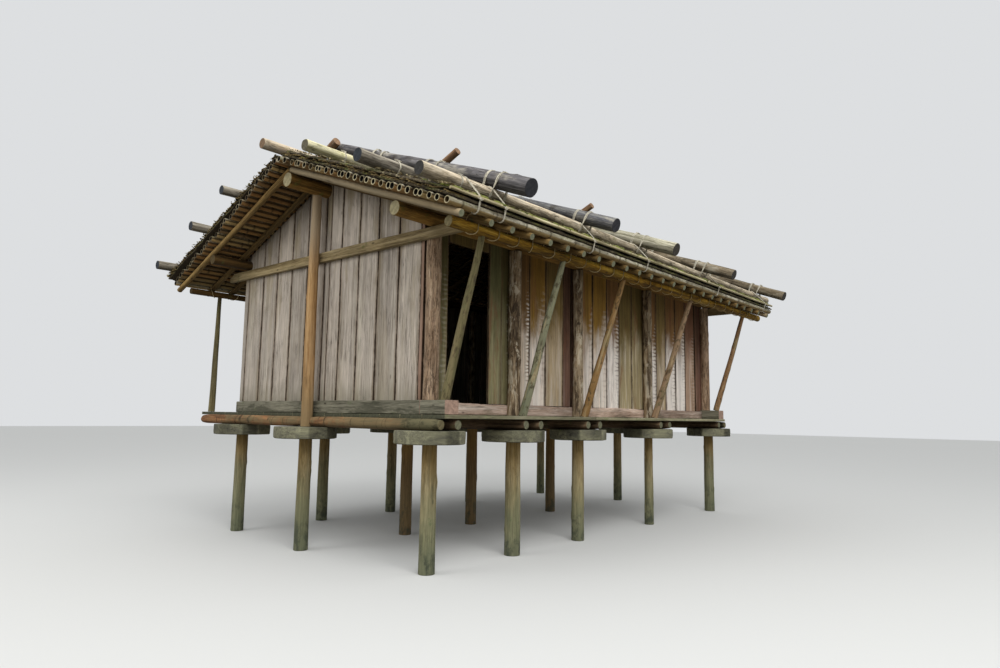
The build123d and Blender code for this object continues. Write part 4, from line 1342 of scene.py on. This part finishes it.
def hitch(piece, purlin, rafter, rng):
    """One rope loop under a purlin, up beside the rafter that lies on it, and slanting over its top."""
    (a0, a1, ra0, ra1), (b0, b1) = purlin, rafter
    along, down = unit(a1 - a0), unit(b1 - b0)
    normal = np.cross(along, down)
    normal *= np.sign(normal[2])
    gap = (b0 - a0) @ normal
    share = ((b0 - a0) @ along) / np.linalg.norm(a1 - a0)
    if not 0.01 < share < 0.99:
        return
    girth = ra0 + (ra1 - ra0) * share
    middle = a0 + along * ((b0 - a0) @ along)
    wide, round_purlin = EAVE_RAFTER + EAVE_ROPE, girth * 1.09 + EAVE_ROPE
    t = np.linspace(0, math.pi, 14)[:, None]
    turn = rng.choice([-1, 1], p=[0.15, 0.85])
    under = middle + along * wide * np.cos(t) * turn + round_purlin * (down * np.cos(t) - normal * np.sin(t))
    over = (middle - along * wide * np.cos(t) * turn - down * round_purlin * 0.6 * np.cos(t)
            + normal * (gap + wide * np.sin(t)))
    strand(piece, np.concatenate([under, over]), rng, EAVE_ROPE)


def strap(piece, pole, at, out, rng):
    """Rope over a weight log and down through the cover, a distance along the log from its start."""
    start, end, r0, r1 = pole
    axis = unit(end - start)
    out = unit(out - axis * (out @ axis))
    side = np.cross(axis, out)
    half = np.linspace(0, math.pi, 12)
    depth, wide = 0.04, max(r0, r1) * 1.03 + ROPE
    for turn in range(2):
        middle = start + axis * (at + turn * TURN_PITCH + rng.uniform(0, 0.004))
        low = middle - out * (depth + wide)
        path = [middle + side * wide * math.cos(t) + out * wide * math.sin(t) for t in half]
        path += [low - side * 0.02 * math.cos(t) - out * 0.02 * math.sin(t) for t in half]
        tube(piece, np.array(path) + rng.normal(0, 0.0006, (24, 3)), ROPE, rng.random())
    knot(piece, start + axis * (at + 0.012) + out * (wide + ROPE), out, rng)


def wrapped(dots):
    """The tight outline round some points of a plane."""
    dots = sorted(set(dots))
    outline = []
    for run in (dots, dots[::-1]):
        side = []
        for y, z in run:
            while len(side) > 1:
                (y0, z0), (y1, z1) = side[-2:]
                if (y1 - y0) * (z - z0) - (z1 - z0) * (y - y0) > 0:
                    break
                side.pop()
            side.append((y, z))
        outline += side[:-1]
    return np.array(outline + outline[:1])


def tie_down(piece, poles, edge, x, rng):
    """Rope drawn tight round poles that run along the roof and over the edge of the cover between them."""
    dots = [tuple(place[1:]) for place in edge]
    for start, end, r0, r1 in poles:
        share = (x - start[0]) / (end[0] - start[0])
        middle = start + (end - start) * share
        radius = (r0 + (r1 - r0) * share) * 1.04 + ROPE
        dots += [(middle[1] + radius * math.cos(t), middle[2] + radius * math.sin(t))
                 for t in round_angles(24)]
    loop = wrapped(dots)
    at = np.concatenate([[0], np.cumsum(np.linalg.norm(np.diff(loop, axis=0), axis=1))])
    marks = np.arange(0, at[-1] - 0.006, 0.012)
    path = np.column_stack([np.full(len(marks), x)] + [np.interp(marks, at, loop[:, k]) for k in (0, 1)])
    for turn in range(2):
        drift = wave(rng, 1.0, 0.003)(marks / at[-1])
        shifted = path + np.outer(turn * TURN_PITCH + drift, ALONG)
        tube(piece, shifted + rng.normal(0, 0.0004, path.shape), ROPE, rng.random())
    front = path[path[:, 1].argmin()]
    knot(piece, front - np.array([0, ROPE * 1.5, 0]), (0, -1.0, 0.2), rng)


def knot(piece, place, facing, rng):
    """A small hitch of rope, lying against a pole, with two short stubs."""
    facing = unit(np.asarray(facing, float))
    side = unit(np.cross(facing, [0.2, 0.5, 0.8]))
    up = np.cross(facing, side)
    t = round_angles(24)
    x = (np.sin(t) + 2 * np.sin(2 * t)) * 0.35
    y = (np.cos(t) - 2 * np.cos(2 * t)) * 0.35
    z = -np.sin(3 * t) * 0.5
    size = ROPE * 3.2
    path = place + size * (np.outer(x, side) + np.outer(y, up)) + np.outer(ROPE * 1.6 * z, facing)
    tube(piece, path, ROPE, rng.random())
    for sign in (1, -1):
        reach = np.linspace(0, rng.uniform(0.02, 0.035), 6)
        bend = rng.uniform(-0.3, 0.3)
        stub = place + np.outer(reach * sign, side) + np.outer(bend * reach, up)
        stub += np.outer(reach * 0.05, facing)
        tube(piece, stub, ROPE * 0.9, rng.random(), closed=False)


def build_lashings(material, eave_material):
    rng = rng_for("lashings")
    piece = Piece("roof_lashings")
    for side in ("front", "back"):
        logs = poles_of(side + "_weight_logs") + poles_of("ridge_weight_log")
        for pole in poles_of(side + "_cross_poles"):
            for held in logs:
                lash(piece, held, pole, rng)
    for node, front in (("front_weight_logs", True), ("back_weight_logs", False)):
        for pole in poles_of(node):
            for at in (0.42, np.linalg.norm(pole[1] - pole[0]) - 0.4):
                strap(piece, pole, at, -slope_down(front), rng)
    held = [min(poles_of(node), key=lambda pole: pole[0][2]) for node in ("front_weight_logs", "front_culms")]
    edge = []
    for points in solids("lower_covers") + solids("upper_covers"):
        if in_front(points):
            top, down, out, thickness, reach = slope_frame(points)[:5]
            edge += [top + down * reach + out * 0.004, top + down * reach - out * thickness]
    rafters = sorted(rafter_line(points)[0][0] for points in solids("front_rafters"))
    gaps = [(a + b) / 2 for a, b in zip(rafters, rafters[1:])]
    feet = [min(pole[:2], key=lambda end: end[2])[0] for pole in poles_of("front_cross_poles")]
    for foot in [gaps[0]] + feet:
        tie_down(piece, held, edge, min(gaps, key=lambda gap: abs(gap - foot)), rng)
    piece.done(material, "rope", angle=60)
    piece = Piece("eave_lashings")
    for side in ("front", "back"):
        purlin = poles_of(side + "_eave_purlin")[0]
        for points in solids(side + "_rafters"):
            hitch(piece, purlin, rafter_line(points), rng)
    piece.done(eave_material, "rope", angle=60)


def build_roof_poles(shades):
    """Battens, weight logs and cross poles, each log with its own bark."""
    timbers("eave_battens_poles", "eave_battens", "pale_pole_wood", shades["pale"], rng_for("battens"),
            (12, 0.12, 0.003, 0.06, 6))
    timbers("ridge_weight_log_bark", "ridge_weight_log", "pale_pole_wood", shades["pinkish"],
            rng_for("log_a"), (28, 0.05, 0.008, 0.035, 7))
    order = sorted(range(3), key=lambda i: -solids("front_weight_logs")[i][:, 2].mean())
    names = ("upper_weight_log", "middle_weight_log", "lower_weight_log")
    for name, which, shade in zip(names, order, ("cream", "grey", "olive_grey")):
        timbers(name, "front_weight_logs", "weight_wood", shades[shade], rng_for(name),
                (30, 0.05, 0.008, 0.04, 8), only=which)
    timbers("back_weight_logs_bark", "back_weight_logs", "weight_wood", shades["grey"],
            rng_for("back_weights"), (24, 0.06, 0.006, 0.04, 6))
    for i, shade in enumerate(("charcoal", "dark", "bleached", "brown", "brown")):
        name = f"front_cross_pole_{i + 1}"
        timbers(name, "front_cross_poles", "cross_pole_wood", shades[shade], rng_for(name),
                (32, 0.045, 0.006, 0.035, 7), only=i)
    timbers("back_cross_poles_bark", "back_cross_poles", "cross_pole_wood", shades["rusty"],
            rng_for("back_poles"), (22, 0.07, 0.006, 0.04, 6))


LEAVES, CUSHIONS = 1700, 300        # on each slope


def build_litter(leaves, moss):
    """Fallen leaves and cushions of moss over the cover and along its edges."""
    rng = rng_for("litter")
    flakes, clumps = Piece("leaf_litter"), Piece("moss_clumps")
    for points in solids("upper_covers"):
        top, down, out, _, reach, x0, x1 = slope_frame(points)

        def place(at_edge, spread, margin, at_verge=0.0):
            """A place on the slope, more often near the eave, and now and then near the verge."""
            edge = rng.random() < at_edge
            s = reach * (1 - abs(rng.normal(0, spread))) if edge else reach * rng.random()
            x = rng.uniform(x0 + 0.03, x1 - 0.03)
            if at_verge and rng.random() < at_verge:
                x = x0 + abs(rng.normal(0, 0.05)) + 0.01
            return top + down * np.clip(s, 0.02, reach - margin) + ALONG * (x - top[0])

        for _ in range(LEAVES):
            flake(flakes, place(0.45, 0.035, 0.01, 0.12) + out * rng.uniform(0.0, 0.008), out, rng)
        for _ in range(CUSHIONS):
            clump(clumps, place(0.5, 0.02, 0.02) - out * 0.01, out, rng.uniform(0.018, 0.05), rng)
    flakes.done(leaves, "roof_cover", angle=80)
    clumps.done(moss, "roof_cover", angle=80)


# Outline of a leaf, and its middle last
LEAF = [(-0.5, 0), (-0.15, 0.45), (0.25, 0.35), (0.5, 0), (0.2, -0.4), (-0.2, -0.42), (0, 0)]


def flake(piece, place, out, rng):
    """One curled leaf with a little thickness."""
    length, width = rng.uniform(0.02, 0.055), rng.uniform(0.008, 0.02)
    turn = rng.uniform(0, WHOLE_TURN)
    tilt = rng.normal(0, 0.3, 2)
    normal = unit(out + np.array([tilt[0], tilt[1], 0.0]))
    first = unit(np.cross(normal, [math.cos(turn), math.sin(turn), 0.35]))
    second = np.cross(normal, first)
    curl = rng.uniform(-0.3, 0.3) * width
    co, loc = [], []
    for lift in (0.0, 0.0012):
        for u, v in LEAF:
            bend = curl * (4 * v * v - u * u * 2)
            co.append(place + first * u * length + second * v * width + normal * (lift + bend))
            loc.append((u * length, v * width, lift))
    sides = len(LEAF) - 1
    tris, quads = [], []
    for k in range(sides):
        m = (k + 1) % sides
        tris += [(sides, m, k), (2 * sides + 1, sides + 1 + k, sides + 1 + m)]
        quads.append((k, m, sides + 1 + m, sides + 1 + k))
    look = np.zeros((len(co), 4))
    look[:, 0] = rng.random()
    piece.add(co, loc, look, quads, tris)


def clump(piece, place, out, size, rng):
    """Low lump of moss."""
    side = unit(np.cross(out, [0.3, 0.9, 0.1]))
    other = np.cross(out, side)
    rings, around = 5, 9
    flat = rng.uniform(0.35, 0.6)
    phase = rng.uniform(0, 6.28, 3)
    co, loc = [], []
    for i in range(rings + 1):
        polar = math.pi * i / rings
        for k in range(around):
            angle = WHOLE_TURN * k / around
            swell = 1 + 0.22 * math.sin(3 * angle + phase[0]) + 0.12 * math.sin(5 * angle + phase[1])
            r = max(size * math.sin(polar) * swell, size * 0.01) * (1 + rng.normal(0, 0.05))
            h = size * flat * math.cos(polar)
            co.append(place + side * r * math.cos(angle) + other * r * math.sin(angle) + out * h)
            loc.append((r * math.cos(angle), r * math.sin(angle), h))
    look = np.zeros((len(co), 4))
    look[:, 0] = rng.random()
    quads = ring_quads(rings + 1, around)[:, [0, 3, 2, 1]]
    last = rings * around
    tris = []
    for k in range(1, around - 1):
        tris += [(0, k, k + 1), (last, last + k + 1, last + k)]
    piece.add(co, loc, look, quads, tris)


stilt_wood = wood("stilt_wood_looks", "#40361f #756442 #988662 #b8a885", pale_share=0.35, pale="#bdb293",
                  foot=[(0.25, 1.05, "#7a7f62", 0.7), (0.0, 0.3, "#5d6450", 0.6)], moss=0.12,
                  moss_tone="#5f6a48", contrast=1.25, grain=40, extra=stilt_wear)
guard_wood = wood("guard_wood_looks", "#45443a #626051 #78765f #8f8d73", "#8c8a72 #55543f", grain=30,
                  moss=0.12, knots=0.0, extra=facets, contrast=1.15, checks=0.9)
bearer_wood = wood("bearer_wood_looks", "#2c2115 #544230 #725d46 #8e795d", "#a09d80 #3f412d", moss=0.25,
                   moss_tone="#596038", contrast=1.4)
edge_wood = wood("edge_bearer_looks", "#3a2717 #744f31 #966b46 #b08a60", "#8f8460 #4c4530", moss=0.2,
                 moss_tone="#666b42", contrast=1.4, extra=broken)
deck_wood = wood("deck_wood_looks", "#55523c #807b60 #9b967a #b0ab90", "#6c6c56 #36362a", moss=0.3,
                 moss_tone="#747c52", contrast=1.2)
grey_sill = wood("grey_sill_looks", "#4b493c #6d6a5a #898573 #a09b88", "#c0a28f #9c8070", grain=30,
                 moss=0.16, moss_tone="#636a4c", contrast=1.35, foot=[(1.36, 1.42, "#3a3a2c", 0.6)])
pink_sill = wood("pink_sill_looks", "#7c6656 #a68e7d #c6b0a0 #dac8ba", grain=30, contrast=1.4,
                 pale_share=0.5, pale="#e2d8cc", foot=[(1.3, 1.385, "#6a624c", 0.45)], blots=0.3)
gable_wood = wood("gable_wood_looks", "#7a7165 #a0968a #baafa2 #d0c7ba", grain=46, stretch=0.05,
                  checks=0.75, extra=gable_wear, pale_share=0.5, contrast=1.2, knots=0.5, blots=0.14)
wall_wood = boards_shade("wall_wood_looks")
back_wood = wood("back_wood_looks", "#5f574a #857b6b #9c9383 #afa697", grain=40, stretch=0.06,
                 extra=edges, pale_share=0.4, contrast=1.2)
rough_post = wood("rough_post_looks", "#5e4a36 #957a60 #b89e82 #d0baa0", grain=26, stretch=0.14,
                  extra=barked, depth=0.006, contrast=1.3)
dark_post = wood("dark_post_looks", "#33281b #6d5a43 #9c886c #c6b599", grain=22, stretch=0.1,
                 contrast=1.7, depth=0.004, pale_share=0.6, pale="#cdbfa4", blots=0.3, extra=flaky)
pole_wood = wood("pole_wood_looks", "#4a4128 #6e6443 #877d5a #9b9271", grain=30, moss=0.2, contrast=1.3)
peeled = wood("peeled_looks", "#70512f #957147 #b48f61 #cbab80", grain=40, stretch=0.05, spread=0.08,
              foot=[(1.3, 1.9, "#8a7858", 0.75)], extra=peeled_wear, contrast=1.25)
brace_wood = wood("brace_looks", "#463722 #786243 #9c8260 #b9a07a", grain=32, extra=brace_wear, spread=0.0,
                  contrast=1.4)
tie_wood = wood("tie_wood_looks", "#4d4029 #7a6a49 #988763 #b0a07c", grain=30, moss=0.08, contrast=1.35,
                pale_share=0.3, pale="#bdae8a")
# partly painted shade: tones darkened towards how the wall plate and ridge log look in the eaves' shade
brown_frame = wood("brown_frame_looks", "#33250f #644a20 #8a6831 #a98c50", "#c4ba96 #8a7f5c", moss=0.18,
                   moss_tone="#66682f", contrast=1.35, under=0.9)
# painted shade: a darker copy of the brown frame's look, for the back wall plate and back eave purlin
painted_shade_frame = wood("dim_frame_looks", "#271b0d #493619 #674d27 #82683c", "#6b5a38 #3d301c", moss=0.08,
                 contrast=1.3)
golden = wood("golden_looks", "#4a3410 #8a661d #ba9031 #dbb651", "#b8ac82 #6e6242", grain=24, contrast=1.8,
              pale_share=0.45, pale="#e0c274", depth=0.005, blots=0.34, stretch=0.12, extra=mossy_top,
              under=0.8)
rafter_wood = wood("rafter_looks", "#3a2d16 #6b552e #917648 #b0955f", "#a9ab8e #5d6048", moss=0.12,
                   moss_tone="#4b5430", contrast=1.3, spread=0.35, extra=verge_pale)
shades = {
    "pale": wood("pale_pole_looks", "#7a6f52 #a89c78 #c5ba95 #ddd4b3", "#c9bd97 #847650", contrast=1.4,
                 moss=0.15, moss_tone="#767a3c"),
}
for name, tones, end_tones, contrast, facts in (
    ("cream_log", "#98905f #cbc391 #e8e0b6 #f7f2d6", "#87806a #45402f", 1.35,
     dict(moss=0.16, moss_tone="#868a4a", pale_share=0.5, pale="#f5f0da")),
    ("grey_log", "#4f483d #80786a #a29a8a #bfb8a7", "#454a50 #24282d", 1.35, dict(moss=0.12)),
    ("olive_grey_log", "#564c3a #998b73 #c9baa1 #ece1cc", "#4d4b48 #2b2a28", 1.5,
     dict(moss=0.16, moss_tone="#7b7b52")),
    ("pinkish_log", "#8a775c #bba588 #dac8ac #f2e5ce", "#a08468 #5c4936", 1.35,
     dict(moss=0.1, moss_tone="#8a8650", pale_share=0.4, pale="#f6eddb")),
    ("charcoal_log", "#2b2a2b #4a4849 #676465 #878381", "#3e3f44 #242529", 1.35, {}),
    ("dark_pole", "#303136 #56565a #777672 #98958d", "#434348 #29292d", 1.4, {}),
    ("bleached_pole", "#5a5643 #8a8570 #b0ab94 #d8d3c0", "#57524a #33302b", 1.35,
     dict(pale_share=0.4, pale="#e0dac9")),
    ("brown_pole", "#41372a #71644f #93856e #b3a68d", "#54504a #302d29", 1.4, dict(moss=0.08)),
    ("rusty_pole", "#55402e #846248 #a58261 #bd9f7f", "#c0a07e #80604a", 1.35, {}),
):
    bark = wood(name + "_looks", tones, end_tones, contrast=contrast, extra=cracked, **facts)
    shades[name.rsplit("_", 1)[0]] = bark
cane_shade = wood("cane_looks", "#2d2414 #57482b #7b6943 #98865c", "#9a8d66 #4a3f28", knots=0.0,
                  contrast=1.2, spread=0.3, moss=0.35, moss_tone="#7b8038")
cover_shade = thatch()
leaf_shade = litter_shade("leaf_litter_looks", "#6b5a3c #9a8a64 #b9ac86 #80704c #d0c6a4")
moss_shade = litter_shade("moss_looks", "#4d5326 #707638 #8b8e46 #5d6433")

build_stilts(stilt_wood)
build_guards(guard_wood)
build_bearers(bearer_wood, edge_wood)
build_deck(deck_wood)
build_sills(grey_sill, pink_sill)
build_gable("near_gable_boards", gable_wood, -1.0)
build_gable("far_gable_boards", gable_wood, 1.0)
build_front_boards(wall_wood)
build_back_boards(back_wood)
build_posts(rough_post, dark_post, pole_wood, peeled)
build_braces(brace_wood)
build_tie_beams(tie_wood)
build_frame_logs(brown_frame, painted_shade_frame, golden)
build_rafters(rafter_wood)
build_culms(bamboo())
build_cover("lower_covers", cover_shade, 0.02, 0.012, 130, 30)
build_cover("upper_covers", cover_shade, 0.03, 0.016, 180, 56)
build_twigs(cane_shade)
build_roof_poles(shades)
build_lashings(rope("dry_rope", "#aaa084", "#f3eddb"), rope("eave_rope", "#a58c5a", "#fbe7b6"))
build_litter(leaf_shade, moss_shade)


# Studio

def matt(shader, code):
    """A dull surface of one written colour."""
    shader.inputs["Base Color"].default_value = lin(code)
    shader.inputs["Roughness"].default_value = 0.95
    shader.inputs["Specular IOR Level"].default_value = 0.1


def floor_paint():
    """Pale where it is seen, straight or in a gloss, and an earth's mid grey in the light it gives back."""
    material = bpy.data.materials.new("studio_floor_paint")
    material.use_nodes = True
    tree = material.node_tree
    pale, dull = tree.nodes["Principled BSDF"], tree.nodes.new("ShaderNodeBsdfPrincipled")
    matt(pale, "#dcdcd9")
    matt(dull, "#8e8a82")
    rays = tree.nodes.new("ShaderNodeLightPath").outputs
    seen = rays["Is Camera Ray"]
    for kind in ("Is Glossy Ray", "Is Transmission Ray"):
        either = tree.nodes.new("ShaderNodeMath")
        either.operation = "MAXIMUM"
        tree.links.new(seen, either.inputs[0])
        tree.links.new(rays[kind], either.inputs[1])
        seen = either.outputs[0]
    mix = tree.nodes.new("ShaderNodeMixShader")
    for source, socket in zip((seen, dull.outputs[0], pale.outputs[0]), mix.inputs):
        tree.links.new(source, socket)
    tree.links.new(mix.outputs[0], tree.nodes["Material Output"].inputs["Surface"])
    return material


floor_mesh = bpy.data.meshes.new("studio_floor")
reach = 60.0
floor_mesh.from_pydata([(-reach, -reach, 0), (reach, -reach, 0), (reach, reach, 0), (-reach, reach, 0)], [],
                       [(0, 1, 2, 3)])
floor_mesh.materials.append(floor_paint())
floor = bpy.data.objects.new("studio_floor", floor_mesh)
bpy.context.scene.collection.objects.link(floor)

world = bpy.data.worlds.new("studio_world")
bpy.context.scene.world = world
world.use_nodes = True
background = world.node_tree.nodes["Background"]
background.inputs["Color"].default_value = lin("#f4f6f8")
background.inputs["Strength"].default_value = 0.8
WALL_MIDDLE = Vector((0, 0, 1.5))


def lamp(name, place, size, power):
    """A square panel of light that faces the middle of the walls."""
    data = bpy.data.lights.new(name, "AREA")
    data.shape = "RECTANGLE"
    data.size = data.size_y = size
    data.energy = power
    light = bpy.data.objects.new(name, data)
    light.location = place
    light.rotation_euler = (WALL_MIDDLE - Vector(place)).to_track_quat("-Z", "Y").to_euler()
    bpy.context.scene.collection.objects.link(light)


lamp("sky_panel", (-7.0, -9.0, 11.0), 9, 1050)
lamp("side_panel", (-12.0, 3.0, 7.0), 6, 250)

# The photograph's own camera: focal length in pixels of a frame 1000 wide, its place in building
# axes, and its three directions
FRAME_WIDTH = 1000
FOCAL_PIXELS = 687.1
SENSOR = 36.0
camera_data = bpy.data.cameras.new("camera")
camera_data.sensor_width = SENSOR
camera_data.lens = SENSOR * FOCAL_PIXELS / FRAME_WIDTH
camera_data.clip_end = 200
camera = bpy.data.objects.new("camera", camera_data)
right = Vector((0.6494, -0.7603, 0.0146))
up = Vector((-0.0999, -0.0663, 0.9928))
forward = Vector((0.7538, 0.6462, 0.1190))
place = Vector(here(-4.160, -4.172, 1.348))
turn = Matrix([right, up, -forward]).transposed().to_4x4()
camera.matrix_world = Matrix.Translation(place) @ turn
bpy.context.scene.collection.objects.link(camera)
bpy.context.scene.camera = camera

bpy.context.scene.view_settings.view_transform = "Standard"


def corners(box):
    return [[float(v) for v in corner] for corner in box]
